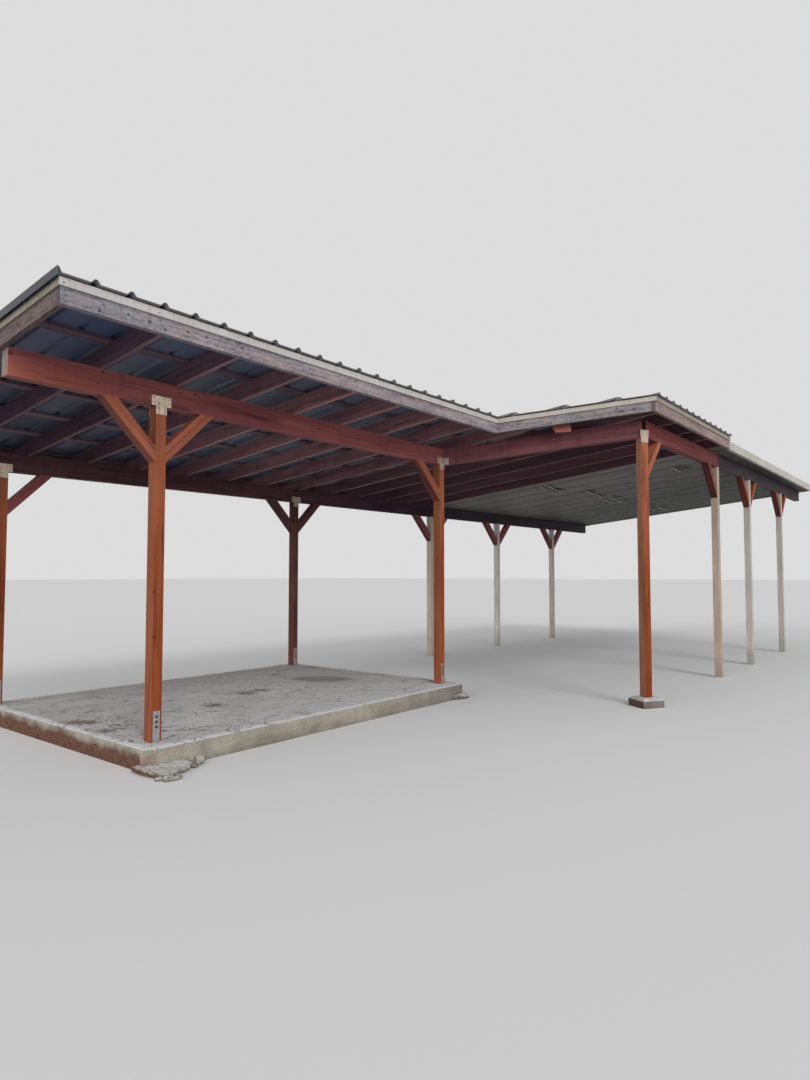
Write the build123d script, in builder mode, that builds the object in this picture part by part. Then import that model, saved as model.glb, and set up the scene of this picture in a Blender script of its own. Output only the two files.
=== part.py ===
from build123d import *

import os
from math import cos, degrees, pi, radians, sin, tan

# Timber sections
timber_width = 89.0
beam_depth = 184.0
rafter_width = 38.0
rafter_depth = 140.0
purlin_width = 89.0
purlin_depth = 19.0
board_thickness = 38.0
fascia_depth = 140.0
trim_thickness = 12.0
trim_depth = 48.0

# Lengths along the carport, from the face of the gable board
new_roof_length = 8270.0
whole_length = 14360.0
gable_to_first_post = 1096.0
front_bay = 3640.0
back_left_lead = 101.0
back_corner_lag = 88.0
old_post_lead = 3.0
right_post_lead = 440.0
far_post_margin = 1707.0
middle_post_share = 0.486

# Widths across it, between the faces that look at the front
front_to_back_beam = 2578.0
front_to_right_beam = 2050.0
front_overhang = 780.0
right_overhang = 215.0
back_overhang = 338.0
skew_angle = 25.2
skew_overhang = 355.0
beam_skew_angle = 23.5
miter_inset = 17.0
beam_end_gap = 48.0

# Heights
slab_thickness = 162.0
clear_height = 2527.0
roof_fall = 0.1042
trim_rise = 101.0

# Spacings
rafter_spacing = 610.0
purlin_spacing = 610.0
rib_pitch = 229.0
pan_pitch = 600.0

# Roof sheets
sheet_thickness = 3.0
sheet_overhang = 36.0
sheet_edge_leg = 17.0
sheet_edge_rise = 32.0
rib_height = 24.0
rib_base = 56.0
rib_top = 18.0
pan_height = 60.0
pan_rib_width = 24.0
pan_back_overhang = 150.0
pan_clearance = 4.0
old_board_depth = 110.0
old_board_drop = 10.0

# Slab and footing
slab_front_margin = 186.0
slab_left_margin = 144.0
slab_right_margin = 167.0
slab_back_margin = 90.0
slab_corner_cut = 80.0
slab_edge_round = 12.0
footing_side = 260.0
footing_height = 100.0

# Knee braces, straps and post bases
brace_reach = 430.0
brace_cut = 126.0
strap_thickness = 4.0
strap_bar_length = 164.0
strap_bar_height = 75.0
strap_stem_length = 62.0
strap_corner_gap = 6.0
strap_corner_length = 60.0
strap_outer_length = 106.0
base_strap_width = 56.0
base_strap_height = 230.0

# Places worked out from the sizes above
x_gable = (sheet_overhang - whole_length) / 2
x_far = x_gable + whole_length
x_step = x_gable + new_roof_length
depth_before_beam = right_overhang + front_to_right_beam
whole_depth = depth_before_beam + front_to_back_beam + timber_width + back_overhang
y_right_eave = -whole_depth / 2
y_back_eave = whole_depth / 2
y_front_beam = y_right_eave + depth_before_beam
y_right_beam = y_right_eave + right_overhang
y_back_beam = y_front_beam + front_to_back_beam
y_front_eave = y_front_beam - front_overhang
x_post_left = x_gable + gable_to_first_post
x_post_corner = x_post_left + front_bay
x_back_left = x_post_left - back_left_lead
x_back_corner = x_post_corner + back_corner_lag
z_slab = slab_thickness
z_front_beam = z_slab + clear_height
half_timber = timber_width / 2
turn = radians(skew_angle)
joint_x = x_post_corner + half_timber
joint_y = y_front_beam + half_timber
beam_turn = radians(beam_skew_angle)
miter = (pi / 2 - beam_turn) / 2
x_miter_front = x_post_corner + timber_width - miter_inset
x_miter_back = x_miter_front + timber_width * tan(miter)
outer_y = y_right_beam + half_timber
outer_run = y_front_beam - outer_y
outer_x = x_miter_front + outer_run * tan(beam_turn) + half_timber / cos(beam_turn)
tall = z_front_beam + 2 * beam_depth + roof_fall * whole_depth
x_first_rafter = x_gable + board_thickness + rafter_spacing
rafter_count = int((new_roof_length - board_thickness - rafter_width) // rafter_spacing)
x_pans = x_first_rafter + (rafter_count - 1) * rafter_spacing + rafter_width + pan_clearance
x_old_near = x_pans + old_post_lead
x_old_far = x_far - far_post_margin - timber_width
x_old_middle = x_old_near + middle_post_share * (x_old_far - x_old_near)
x_right_near = x_pans + right_post_lead


def seat(y):
    """Height of the rafters' undersides at a distance across the roof."""
    return z_front_beam + beam_depth - roof_fall * (y - y_front_beam)


z_back_beam = seat(y_back_beam) - beam_depth
z_right_beam = seat(y_right_beam) - beam_depth


def skew_x(y, inset):
    """Place along the roof of the slanted edge, at a distance inside it."""
    away = skew_overhang + half_timber - inset
    return joint_x - (away + sin(turn) * (y - joint_y)) / cos(turn)


def corner_point(along, across):
    """Plan point on the slanted beam, measured from the middle of the outer post."""
    x = outer_x + sin(beam_turn) * along + cos(beam_turn) * across
    y = outer_y - cos(beam_turn) * along + sin(beam_turn) * across
    return (x, y)


def block(x0, x1, y0, y1, z0, z1):
    """A squared timber, between two corners."""
    with BuildSketch(Plane.XY.offset(z0)) as plan:
        with Locations(((x0 + x1) / 2, (y0 + y1) / 2)):
            Rectangle(x1 - x0, y1 - y0)
    extrude(plan.sketch, amount=z1 - z0)


def within(*outlines):
    """Keeps only what stands inside the plan outlines."""
    with BuildSketch() as plan:
        for outline in outlines:
            Polygon(*outline)
    extrude(plan.sketch, amount=tall, mode=Mode.INTERSECT)


def roof_layer(low, high, *outlines):
    """A layer of the sloping roof, between two heights over the rafter seat."""
    y0 = y_right_eave - front_overhang
    y1 = y_back_eave + front_overhang
    with BuildSketch(Plane.YZ.offset(x_gable - front_overhang)) as section:
        Polygon(
            (y0, seat(y0) + low),
            (y1, seat(y1) + low),
            (y1, seat(y1) + high),
            (y0, seat(y0) + high),
        )
    extrude(section.sketch, amount=whole_length + 2 * front_overhang)
    within(*outlines)


def strip(x0, x1, y0, y1):
    """Plan outline of a straight piece."""
    return ((x0, y0), (x1, y0), (x1, y1), (x0, y1))


def brace(x_face, way, y, z, sunk=0):
    """A knee brace from a post's side face to the underside of a beam."""
    x_start = x_face - way * sunk
    z_start = z - brace_reach - sunk
    with BuildSketch(Plane.XZ.offset(-y)) as side:
        Polygon(
            (x_start, z_start),
            (x_start, z_start + brace_cut),
            (x_face + way * (brace_reach - brace_cut), z),
            (x_face + way * brace_reach, z),
        )
    extrude(side.sketch, amount=-timber_width)


def tee_strap(x, y, z, way):
    """A strap on the face of a post and of the beam over it."""
    with BuildSketch(Plane.XZ.offset(-y)) as face:
        with Locations((x, z + strap_bar_height / 2)):
            Rectangle(strap_bar_length, strap_bar_height)
        with Locations((x, z - strap_stem_length / 2)):
            Rectangle(timber_width, strap_stem_length)
    extrude(face.sketch, amount=way * strap_thickness)


def rib_profile(x0, x1, pitch, base, top, height, edge_leg=0, edge_rise=0):
    """Outline of a ribbed sheet seen along its ribs. An edge leg starts it with half a rib."""
    if edge_leg:
        first = x0 + pitch
        upper = [(x0, -edge_leg), (x0, edge_rise + sheet_thickness)]
        upper += [(x0 + top / 2, edge_rise + sheet_thickness), (x0 + base / 2, sheet_thickness)]
        lower = [(x0 + sheet_thickness, -edge_leg), (x0 + sheet_thickness, edge_rise)]
        lower += [(x0 + top / 2, edge_rise), (x0 + base / 2, 0)]
    else:
        first = x0 + pitch / 2
        upper = [(x0, sheet_thickness)]
        lower = [(x0, 0)]
    count = max(1, int((x1 - first - base / 2) // pitch) + 1)
    for number in range(count):
        middle = first + number * pitch
        for offset, rise in ((-base, 0), (-top, height), (top, height), (base, 0)):
            upper.append((middle + offset / 2, rise + sheet_thickness))
            lower.append((middle + offset / 2, rise))
    upper.append((x1, sheet_thickness))
    lower.append((x1, 0))
    return upper + lower[::-1]


def ribbed_sheet(y0, y1, low, profile):
    """A ribbed sheet whose ribs run down the roof's slope."""
    run = y1 - y0
    with BuildSketch(Plane.XZ.offset(-y0)) as section:
        with Locations((0, seat(y0) + low)):
            Polygon(*profile)
    length = (run**2 + (roof_fall * run) ** 2) ** 0.5
    extrude(section.sketch, amount=length, dir=(0, 1, -roof_fall))


def new_outline(inset):
    """Plan corners of the stained part of the roof, at a distance inside its edge."""
    y_front = y_front_eave + inset
    y_right = y_right_eave + inset
    return (
        (x_gable + inset, y_front),
        (skew_x(y_front, inset), y_front),
        (skew_x(y_right, inset), y_right),
        (x_step, y_right),
        (x_step, y_back_eave - inset),
        (x_gable + inset, y_back_eave - inset),
    )


def post(x, y, z0, z1):
    """A squared post by its left front corner."""
    block(x, x + timber_width, y, y + timber_width, z0, z1)


os.makedirs("parts", exist_ok=True)

# Slab and footing
with BuildPart() as slab:
    block(
        x_post_left - slab_left_margin,
        x_post_corner + timber_width + slab_right_margin,
        y_front_beam - slab_front_margin,
        y_back_beam + timber_width + slab_back_margin,
        0,
        slab_thickness,
    )
    chamfer(slab.edges().filter_by(Axis.Z).group_by(Axis.Y)[0], length=slab_corner_cut)
    fillet(slab.edges().group_by(Axis.Z)[-1], radius=slab_edge_round)
slab.part.label = "slab"
export_step(slab.part, "parts/slab.step")

with BuildPart() as footing_outer_corner:
    with BuildSketch():
        with Locations((outer_x, outer_y)):
            Rectangle(footing_side, footing_side, rotation=-degrees(miter))
    extrude(amount=footing_height)
    chamfer(footing_outer_corner.edges().group_by(Axis.Z)[-1], length=footing_height / 4)
footing_outer_corner.part.label = "footing_outer_corner"
export_step(footing_outer_corner.part, "parts/footing_outer_corner.step")

# Beams
x_beam_left = x_gable + board_thickness
end_cut = half_timber * tan(miter)
end_slack = beam_end_gap / 2 / cos(miter)
x_beam_join_back = x_old_near + half_timber
x_beam_join_right = x_right_near + half_timber
x_beam_far = x_far - board_thickness

with BuildPart() as front_beam:
    with BuildSketch(Plane.XY.offset(z_front_beam)):
        Polygon(
            (x_beam_left, y_front_beam),
            (x_miter_front, y_front_beam),
            (x_miter_back, y_front_beam + timber_width),
            (x_beam_left, y_front_beam + timber_width),
        )
    extrude(amount=beam_depth)
front_beam.part.label = "front_beam"
export_step(front_beam.part, "parts/front_beam.step")

with BuildPart() as corner_beam:
    corner_beam_plan = (
        (x_miter_front, y_front_beam),
        corner_point(end_cut - end_slack, -half_timber),
        corner_point(-end_cut - end_slack, half_timber),
        (x_miter_back, y_front_beam + timber_width),
    )
    roof_layer(-beam_depth, 0, corner_beam_plan)
corner_beam.part.label = "corner_beam"
export_step(corner_beam.part, "parts/corner_beam.step")

with BuildPart() as right_beam:
    with BuildSketch(Plane.XY.offset(z_right_beam)):
        Polygon(
            (outer_x - end_cut + end_slack, y_right_beam),
            (x_beam_join_right, y_right_beam),
            (x_beam_join_right, y_right_beam + timber_width),
            (outer_x + end_cut + end_slack, y_right_beam + timber_width),
        )
    extrude(amount=beam_depth)
right_beam.part.label = "right_beam"
export_step(right_beam.part, "parts/right_beam.step")

with BuildPart() as right_beam_old:
    block(
        x_beam_join_right,
        x_beam_far,
        y_right_beam,
        y_right_beam + timber_width,
        z_right_beam,
        z_right_beam + beam_depth,
    )
right_beam_old.part.label = "right_beam_old"
export_step(right_beam_old.part, "parts/right_beam_old.step")

with BuildPart() as back_beam:
    block(
        x_beam_left,
        x_beam_join_back,
        y_back_beam,
        y_back_beam + timber_width,
        z_back_beam,
        z_back_beam + beam_depth,
    )
back_beam.part.label = "back_beam"
export_step(back_beam.part, "parts/back_beam.step")

with BuildPart() as back_beam_old:
    block(
        x_beam_join_back,
        x_beam_far,
        y_back_beam,
        y_back_beam + timber_width,
        z_back_beam,
        z_back_beam + beam_depth,
    )
back_beam_old.part.label = "back_beam_old"
export_step(back_beam_old.part, "parts/back_beam_old.step")

# Posts of the stained part
with BuildPart() as post_front_left:
    post(x_post_left, y_front_beam, z_slab, z_front_beam)
post_front_left.part.label = "post_front_left"
export_step(post_front_left.part, "parts/post_front_left.step")

with BuildPart() as post_front_corner:
    post(x_post_corner, y_front_beam, z_slab, z_front_beam)
    add(corner_beam.part, mode=Mode.SUBTRACT)
post_front_corner.part.label = "post_front_corner"
export_step(post_front_corner.part, "parts/post_front_corner.step")

with BuildPart() as post_outer_corner:
    with BuildSketch(Plane.XY.offset(footing_height)):
        with Locations((outer_x, outer_y)):
            Rectangle(timber_width, timber_width, rotation=-degrees(miter))
    extrude(amount=z_right_beam - footing_height)
    add(corner_beam.part, mode=Mode.SUBTRACT)
post_outer_corner.part.label = "post_outer_corner"
export_step(post_outer_corner.part, "parts/post_outer_corner.step")

with BuildPart() as post_back_left:
    post(x_back_left, y_back_beam, z_slab, z_back_beam)
post_back_left.part.label = "post_back_left"
export_step(post_back_left.part, "parts/post_back_left.step")

with BuildPart() as post_back_corner:
    post(x_back_corner, y_back_beam, z_slab, z_back_beam)
post_back_corner.part.label = "post_back_corner"
export_step(post_back_corner.part, "parts/post_back_corner.step")

# White posts of the older part
with BuildPart() as post_back_near:
    post(x_old_near, y_back_beam, 0, z_back_beam)
post_back_near.part.label = "post_back_near"
export_step(post_back_near.part, "parts/post_back_near.step")

with BuildPart() as post_back_middle:
    post(x_old_middle, y_back_beam, 0, z_back_beam)
post_back_middle.part.label = "post_back_middle"
export_step(post_back_middle.part, "parts/post_back_middle.step")

with BuildPart() as post_back_far:
    post(x_old_far, y_back_beam, 0, z_back_beam)
post_back_far.part.label = "post_back_far"
export_step(post_back_far.part, "parts/post_back_far.step")

with BuildPart() as post_right_near:
    post(x_right_near, y_right_beam, 0, z_right_beam)
post_right_near.part.label = "post_right_near"
export_step(post_right_near.part, "parts/post_right_near.step")

with BuildPart() as post_right_middle:
    post(x_old_middle, y_right_beam, 0, z_right_beam)
post_right_middle.part.label = "post_right_middle"
export_step(post_right_middle.part, "parts/post_right_middle.step")

with BuildPart() as post_right_far:
    post(x_old_far, y_right_beam, 0, z_right_beam)
post_right_far.part.label = "post_right_far"
export_step(post_right_far.part, "parts/post_right_far.step")

# Knee braces
half_diagonal = half_timber * 2**0.5
with BuildPart() as braces_front:
    brace(x_post_left, -1, y_front_beam, z_front_beam)
    brace(x_post_left + timber_width, 1, y_front_beam, z_front_beam)
    brace(x_post_corner, -1, y_front_beam, z_front_beam)
braces_front.part.label = "braces_front"
export_step(braces_front.part, "parts/braces_front.step")

with BuildPart() as braces_right:
    brace(outer_x + half_diagonal, 1, y_right_beam, z_right_beam, half_diagonal)
    brace(x_right_near, -1, y_right_beam, z_right_beam)
    add(post_outer_corner.part, mode=Mode.SUBTRACT)
braces_right.part.label = "braces_right"
export_step(braces_right.part, "parts/braces_right.step")

with BuildPart() as braces_back:
    brace(x_back_left + timber_width, 1, y_back_beam, z_back_beam)
    brace(x_back_corner, -1, y_back_beam, z_back_beam)
    brace(x_back_corner + timber_width, 1, y_back_beam, z_back_beam)
braces_back.part.label = "braces_back"
export_step(braces_back.part, "parts/braces_back.step")

with BuildPart() as braces_back_old:
    for x in (x_old_near, x_old_middle, x_old_far):
        brace(x, -1, y_back_beam, z_back_beam)
        brace(x + timber_width, 1, y_back_beam, z_back_beam)
braces_back_old.part.label = "braces_back_old"
export_step(braces_back_old.part, "parts/braces_back_old.step")

with BuildPart() as braces_right_old:
    for x in (x_old_middle, x_old_far):
        brace(x, -1, y_right_beam, z_right_beam)
        brace(x + timber_width, 1, y_right_beam, z_right_beam)
braces_right_old.part.label = "braces_right_old"
export_step(braces_right_old.part, "parts/braces_right_old.step")

# Rafters, notched over the beams
rafter_places = [x_first_rafter + number * rafter_spacing for number in range(rafter_count)]
rafter_strips = [strip(x, x + rafter_width, y_right_eave, y_back_eave) for x in rafter_places]
x_joint_rafters = x_miter_back + rafter_width
rafters_before = [piece for piece in rafter_strips if piece[0][0] < x_joint_rafters]
rafters_after = [piece for piece in rafter_strips if piece[0][0] >= x_joint_rafters]

with BuildPart() as rafters_left:
    roof_layer(0, rafter_depth, *rafters_before)
    within(new_outline(board_thickness))
    add(front_beam.part, mode=Mode.SUBTRACT)
    add(back_beam.part, mode=Mode.SUBTRACT)
rafters_left.part.label = "rafters_left"
export_step(rafters_left.part, "parts/rafters_left.step")

with BuildPart() as rafters_right:
    roof_layer(0, rafter_depth, *rafters_after)
    within(new_outline(board_thickness))
    add(right_beam.part, mode=Mode.SUBTRACT)
    add(back_beam.part, mode=Mode.SUBTRACT)
rafters_right.part.label = "rafters_right"
export_step(rafters_right.part, "parts/rafters_right.step")

# Purlins, laid flat over the rafters
z_purlin = rafter_depth
z_sheet = rafter_depth + purlin_depth
rows_ahead = int((y_front_eave - y_right_eave - purlin_width) // purlin_spacing)
rows_behind = int((y_back_eave - 2 * purlin_width - y_front_eave) // purlin_spacing)
purlin_rows = [y_right_eave, y_back_eave - purlin_width]
for number in range(-rows_ahead, rows_behind + 1):
    purlin_rows.append(y_front_eave + number * purlin_spacing)

with BuildPart() as purlins:
    roof_layer(
        z_purlin,
        z_sheet,
        *[strip(x_gable, x_step, y, y + purlin_width) for y in purlin_rows],
    )
    within(new_outline(0))
purlins.part.label = "purlins"
export_step(purlins.part, "parts/purlins.step")

# Ribbed roofing sheets
x_sheets = x_gable - sheet_overhang
x_inner_corner = skew_x(y_front_eave - sheet_overhang, -sheet_overhang)
x_outer_corner = skew_x(y_right_eave - sheet_overhang, -sheet_overhang)
ribs_left = int((x_inner_corner - x_sheets) / rib_pitch - 0.5)
ribs_corner = int((x_outer_corner - x_sheets) / rib_pitch + 0.5)
x_sheet_split = x_sheets + (ribs_left + 0.5) * rib_pitch
x_sheet_turn = x_sheets + (ribs_corner + 0.5) * rib_pitch
y_sheet_front = y_front_eave - sheet_overhang
y_sheet_right = y_right_eave - sheet_overhang
y_sheet_back = y_back_eave + sheet_overhang

with BuildPart() as roof_sheet_left:
    ribbed_sheet(
        y_sheet_front,
        y_sheet_back,
        z_sheet,
        rib_profile(
            x_sheets,
            x_sheet_split,
            rib_pitch,
            rib_base,
            rib_top,
            rib_height,
            sheet_edge_leg,
            sheet_edge_rise,
        ),
    )
roof_sheet_left.part.label = "roof_sheet_left"
export_step(roof_sheet_left.part, "parts/roof_sheet_left.step")

with BuildPart() as roof_sheet_corner:
    ribbed_sheet(
        y_sheet_right,
        y_sheet_back,
        z_sheet,
        rib_profile(x_sheet_split, x_sheet_turn, rib_pitch, rib_base, rib_top, rib_height),
    )
    within(new_outline(-sheet_overhang))
roof_sheet_corner.part.label = "roof_sheet_corner"
export_step(roof_sheet_corner.part, "parts/roof_sheet_corner.step")

with BuildPart() as roof_sheet_right:
    ribbed_sheet(
        y_sheet_right,
        y_sheet_back,
        z_sheet,
        rib_profile(x_sheet_turn, x_step, rib_pitch, rib_base, rib_top, rib_height),
    )
roof_sheet_right.part.label = "roof_sheet_right"
export_step(roof_sheet_right.part, "parts/roof_sheet_right.step")

# Roof pans of the older part, laid straight on its beams
y_old_back = y_back_beam + timber_width + pan_back_overhang
with BuildPart() as roof_pans_old:
    ribbed_sheet(
        y_right_eave + board_thickness,
        y_old_back,
        roof_fall * timber_width,
        rib_profile(
            x_pans,
            x_far - board_thickness,
            pan_pitch,
            pan_rib_width,
            pan_rib_width / 2,
            pan_height,
        ),
    )
roof_pans_old.part.label = "roof_pans_old"
export_step(roof_pans_old.part, "parts/roof_pans_old.step")

# Boards round the roof's edge
edge = new_outline(0)
inner = new_outline(board_thickness)
x_butt = skew_x(y_right_eave + board_thickness, 0)

with BuildPart() as fascia_gable:
    roof_layer(
        0,
        fascia_depth,
        strip(x_gable, inner[0][0], inner[0][1], inner[5][1]),
    )
fascia_gable.part.label = "fascia_gable"
export_step(fascia_gable.part, "parts/fascia_gable.step")

with BuildPart() as fascia_front:
    roof_layer(
        0,
        fascia_depth,
        (edge[0], edge[1], inner[1], (x_gable, inner[0][1])),
    )
fascia_front.part.label = "fascia_front"
export_step(fascia_front.part, "parts/fascia_front.step")

with BuildPart() as fascia_corner:
    roof_layer(
        0,
        fascia_depth,
        (edge[1], (x_butt, inner[2][1]), inner[2], inner[1]),
    )
fascia_corner.part.label = "fascia_corner"
export_step(fascia_corner.part, "parts/fascia_corner.step")

with BuildPart() as fascia_right:
    roof_layer(
        0,
        fascia_depth,
        (edge[2], edge[3], inner[3], (x_butt, inner[2][1])),
    )
fascia_right.part.label = "fascia_right"
export_step(fascia_right.part, "parts/fascia_right.step")

with BuildPart() as fascia_back:
    roof_layer(
        0,
        fascia_depth,
        strip(x_gable, x_step, inner[4][1], edge[4][1]),
    )
fascia_back.part.label = "fascia_back"
export_step(fascia_back.part, "parts/fascia_back.step")

# Trim nailed along the top of the boards
trim = new_outline(-trim_thickness)
trim_high = trim_rise + trim_depth

with BuildPart() as trim_gable:
    roof_layer(trim_rise, trim_high, (trim[0], edge[0], edge[5], trim[5]))
trim_gable.part.label = "trim_gable"
export_step(trim_gable.part, "parts/trim_gable.step")

with BuildPart() as trim_front:
    roof_layer(trim_rise, trim_high, (trim[0], trim[1], edge[1], edge[0]))
trim_front.part.label = "trim_front"
export_step(trim_front.part, "parts/trim_front.step")

with BuildPart() as trim_corner:
    roof_layer(trim_rise, trim_high, (trim[1], trim[2], edge[2], edge[1]))
trim_corner.part.label = "trim_corner"
export_step(trim_corner.part, "parts/trim_corner.step")

with BuildPart() as trim_right:
    roof_layer(trim_rise, trim_high, (trim[2], trim[3], edge[3], edge[2]))
trim_right.part.label = "trim_right"
export_step(trim_right.part, "parts/trim_right.step")

with BuildPart() as trim_back:
    roof_layer(trim_rise, trim_high, (trim[4], trim[5], edge[5], edge[4]))
trim_back.part.label = "trim_back"
export_step(trim_back.part, "parts/trim_back.step")

# Edge boards of the older part
old_low = -old_board_drop
old_high = old_board_depth - old_board_drop

with BuildPart() as old_board_front:
    roof_layer(
        old_low,
        old_high,
        strip(x_step, x_far, y_right_eave, y_right_eave + board_thickness),
    )
old_board_front.part.label = "old_board_front"
export_step(old_board_front.part, "parts/old_board_front.step")

with BuildPart() as old_board_end:
    roof_layer(
        old_low,
        old_high,
        strip(x_beam_far, x_far, y_right_eave + board_thickness, y_old_back),
    )
old_board_end.part.label = "old_board_end"
export_step(old_board_end.part, "parts/old_board_end.step")

with BuildPart() as old_board_back:
    roof_layer(
        old_low,
        old_high,
        strip(x_pans, x_far, y_old_back, y_old_back + board_thickness),
    )
old_board_back.part.label = "old_board_back"
export_step(old_board_back.part, "parts/old_board_back.step")

# Straps where the posts meet the beams
corner_bar_start = x_post_corner + half_timber - strap_bar_length / 2
corner_bar_end = x_miter_front - strap_corner_gap
corner_face = Plane(
    origin=(x_miter_front, y_front_beam, z_front_beam),
    x_dir=(sin(beam_turn), -cos(beam_turn), 0),
    z_dir=(-cos(beam_turn), -sin(beam_turn), 0),
)
with BuildPart() as straps_front:
    tee_strap(x_post_left + half_timber, y_front_beam, z_front_beam, 1)
    tee_strap(x_post_left + half_timber, y_front_beam + timber_width, z_front_beam, -1)
    with BuildSketch(Plane.XZ.offset(-y_front_beam)):
        with Locations(((corner_bar_start + corner_bar_end) / 2, z_front_beam + strap_bar_height / 2)):
            Rectangle(corner_bar_end - corner_bar_start, strap_bar_height)
        with Locations((x_post_corner + half_timber, z_front_beam - strap_stem_length / 2)):
            Rectangle(timber_width, strap_stem_length)
    extrude(amount=strap_thickness)
    with BuildSketch(corner_face):
        with Locations((strap_corner_gap + strap_corner_length / 2, strap_bar_height / 2)):
            Rectangle(strap_corner_length, strap_bar_height)
    extrude(amount=strap_thickness)
    add(post_front_corner.part, mode=Mode.SUBTRACT)
straps_front.part.label = "straps_front"
export_step(straps_front.part, "parts/straps_front.step")

with BuildPart() as straps_back:
    for x in (x_back_left, x_back_corner):
        tee_strap(x + half_timber, y_back_beam, z_back_beam, 1)
        tee_strap(x + half_timber, y_back_beam + timber_width, z_back_beam, -1)
straps_back.part.label = "straps_back"
export_step(straps_back.part, "parts/straps_back.step")

# Strap on the face of the outer post, which halves the corner between its beams
outer_face = Plane(
    origin=(
        outer_x - half_timber * sin(miter),
        outer_y - half_timber * cos(miter),
        z_right_beam,
    ),
    x_dir=(cos(miter), -sin(miter), 0),
    z_dir=(-sin(miter), -cos(miter), 0),
)
with BuildPart() as strap_outer_corner:
    with BuildSketch(outer_face):
        with Locations((0, -strap_stem_length / 2)):
            Rectangle(timber_width, strap_stem_length)
        with Locations((0, strap_bar_height / 2)):
            Rectangle(strap_outer_length, strap_bar_height)
    extrude(amount=strap_thickness)
strap_outer_corner.part.label = "strap_outer_corner"
export_step(strap_outer_corner.part, "parts/strap_outer_corner.step")

# Straps that hold the posts to the slab
with BuildPart() as post_base_straps:
    slab_posts = [(x, y_front_beam) for x in (x_post_left, x_post_corner)]
    slab_posts += [(x, y_back_beam) for x in (x_back_left, x_back_corner)]
    for x, y in slab_posts:
        for face, way in ((y, -1), (y + timber_width, 1)):
            block(
                x + (timber_width - base_strap_width) / 2,
                x + (timber_width + base_strap_width) / 2,
                min(face, face + way * strap_thickness),
                max(face, face + way * strap_thickness),
                z_slab,
                z_slab + base_strap_height,
            )
post_base_straps.part.label = "post_base_straps"
export_step(post_base_straps.part, "parts/post_base_straps.step")
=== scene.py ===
import math
import random

import bpy
from mathutils import Euler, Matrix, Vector, noise


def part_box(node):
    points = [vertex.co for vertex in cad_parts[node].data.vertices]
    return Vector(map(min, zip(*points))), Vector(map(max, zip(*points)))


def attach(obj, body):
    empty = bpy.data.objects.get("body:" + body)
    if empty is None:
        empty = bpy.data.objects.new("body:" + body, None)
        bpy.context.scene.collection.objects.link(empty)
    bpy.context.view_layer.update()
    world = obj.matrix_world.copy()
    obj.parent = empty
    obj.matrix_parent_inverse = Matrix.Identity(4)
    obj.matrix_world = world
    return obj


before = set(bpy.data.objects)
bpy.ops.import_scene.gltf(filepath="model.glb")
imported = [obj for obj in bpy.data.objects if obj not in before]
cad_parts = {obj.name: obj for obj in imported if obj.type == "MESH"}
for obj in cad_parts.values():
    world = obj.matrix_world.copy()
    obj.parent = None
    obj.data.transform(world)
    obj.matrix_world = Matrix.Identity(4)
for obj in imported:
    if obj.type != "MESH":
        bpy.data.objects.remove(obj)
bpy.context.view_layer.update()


def middles(*nodes):
    """Middles of the nodes along the carport."""
    return [(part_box(node)[0][0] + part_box(node)[1][0]) / 2 for node in nodes]


# Places taken from the frame, in metres
GABLE_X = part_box("fascia_gable")[0][0]
FRONT_BEAM_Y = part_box("front_beam")[0][1]
FRONT_BEAM_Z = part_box("front_beam")[0][2]
FRONT_BEAM_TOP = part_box("front_beam")[1][2]
BACK_BEAM_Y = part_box("back_beam")[0][1]
BACK_BEAM_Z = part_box("back_beam")[0][2]
SLAB_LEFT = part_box("slab")[0][0]
SLAB_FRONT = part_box("slab")[0][1]
SLAB_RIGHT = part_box("slab")[1][0]
SLAB_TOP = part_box("slab")[1][2]
FRONT_EAVE_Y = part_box("fascia_front")[0][1]
FRONT_EAVE_END_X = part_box("fascia_front")[1][0]
RIGHT_EAVE_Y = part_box("fascia_right")[0][1]
BACK_EAVE_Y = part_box("fascia_back")[1][1]
SHEETS_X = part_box("roof_sheet_left")[0][0]
STEP_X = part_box("roof_sheet_right")[1][0]
PANS_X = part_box("roof_pans_old")[0][0]
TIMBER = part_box("post_front_left")[1][0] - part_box("post_front_left")[0][0]
FALL = (FRONT_BEAM_Z - BACK_BEAM_Z) / (BACK_BEAM_Y - FRONT_BEAM_Y)
SLOPE = math.atan(FALL)
ROOF_NORMAL = (0.0, FALL, 1.0)
FRONT_POSTS = middles("post_front_left", "post_front_corner")
BACK_POSTS = middles("post_back_left", "post_back_corner")
OUTER_POST = middles("post_outer_corner")
OLD_BACK_POSTS = middles("post_back_near", "post_back_middle", "post_back_far")
OLD_RIGHT_POSTS = middles("post_right_near", "post_right_middle", "post_right_far")

# Spacings and sizes of the standard parts, in metres
RAFTER_PITCH = 0.610
PURLIN_PITCH = 0.610
PURLIN_WIDTH = 0.089
RIB_PITCH = 0.229
PAN_PITCH = 0.600
SHEET_OVER_SEAT = 0.162
STRAP = 0.004

# Turns that carry the x axis onto the run of each kind of timber
SLANT_TURN = math.radians(-64.8)
CORNER_BEAM_TURN = math.radians(-66.5)
OUTER_POST_TURN = math.radians(-33.25)
ALONG = (0.0, 0.0, 0.0)
ACROSS = (0.0, SLOPE, math.radians(90.0))
UPRIGHT = (0.0, math.radians(-90.0), 0.0)
SLANTED = (0.0, -SLOPE * math.sin(-SLANT_TURN), SLANT_TURN)
SLANTED_BEAM = (0.0, -SLOPE * math.sin(-CORNER_BEAM_TURN), CORNER_BEAM_TURN)
UPRIGHT_TURNED = (0.0, math.radians(-90.0), OUTER_POST_TURN)
BRACED = (0.0, math.radians(-45.0), 0.0)
LEFTWARD = (-1.0, 0.0, 0.0)
FORWARD = (0.0, -1.0, 0.0)
BACKWARD = (0.0, 1.0, 0.0)

random.seed(7)


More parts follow.
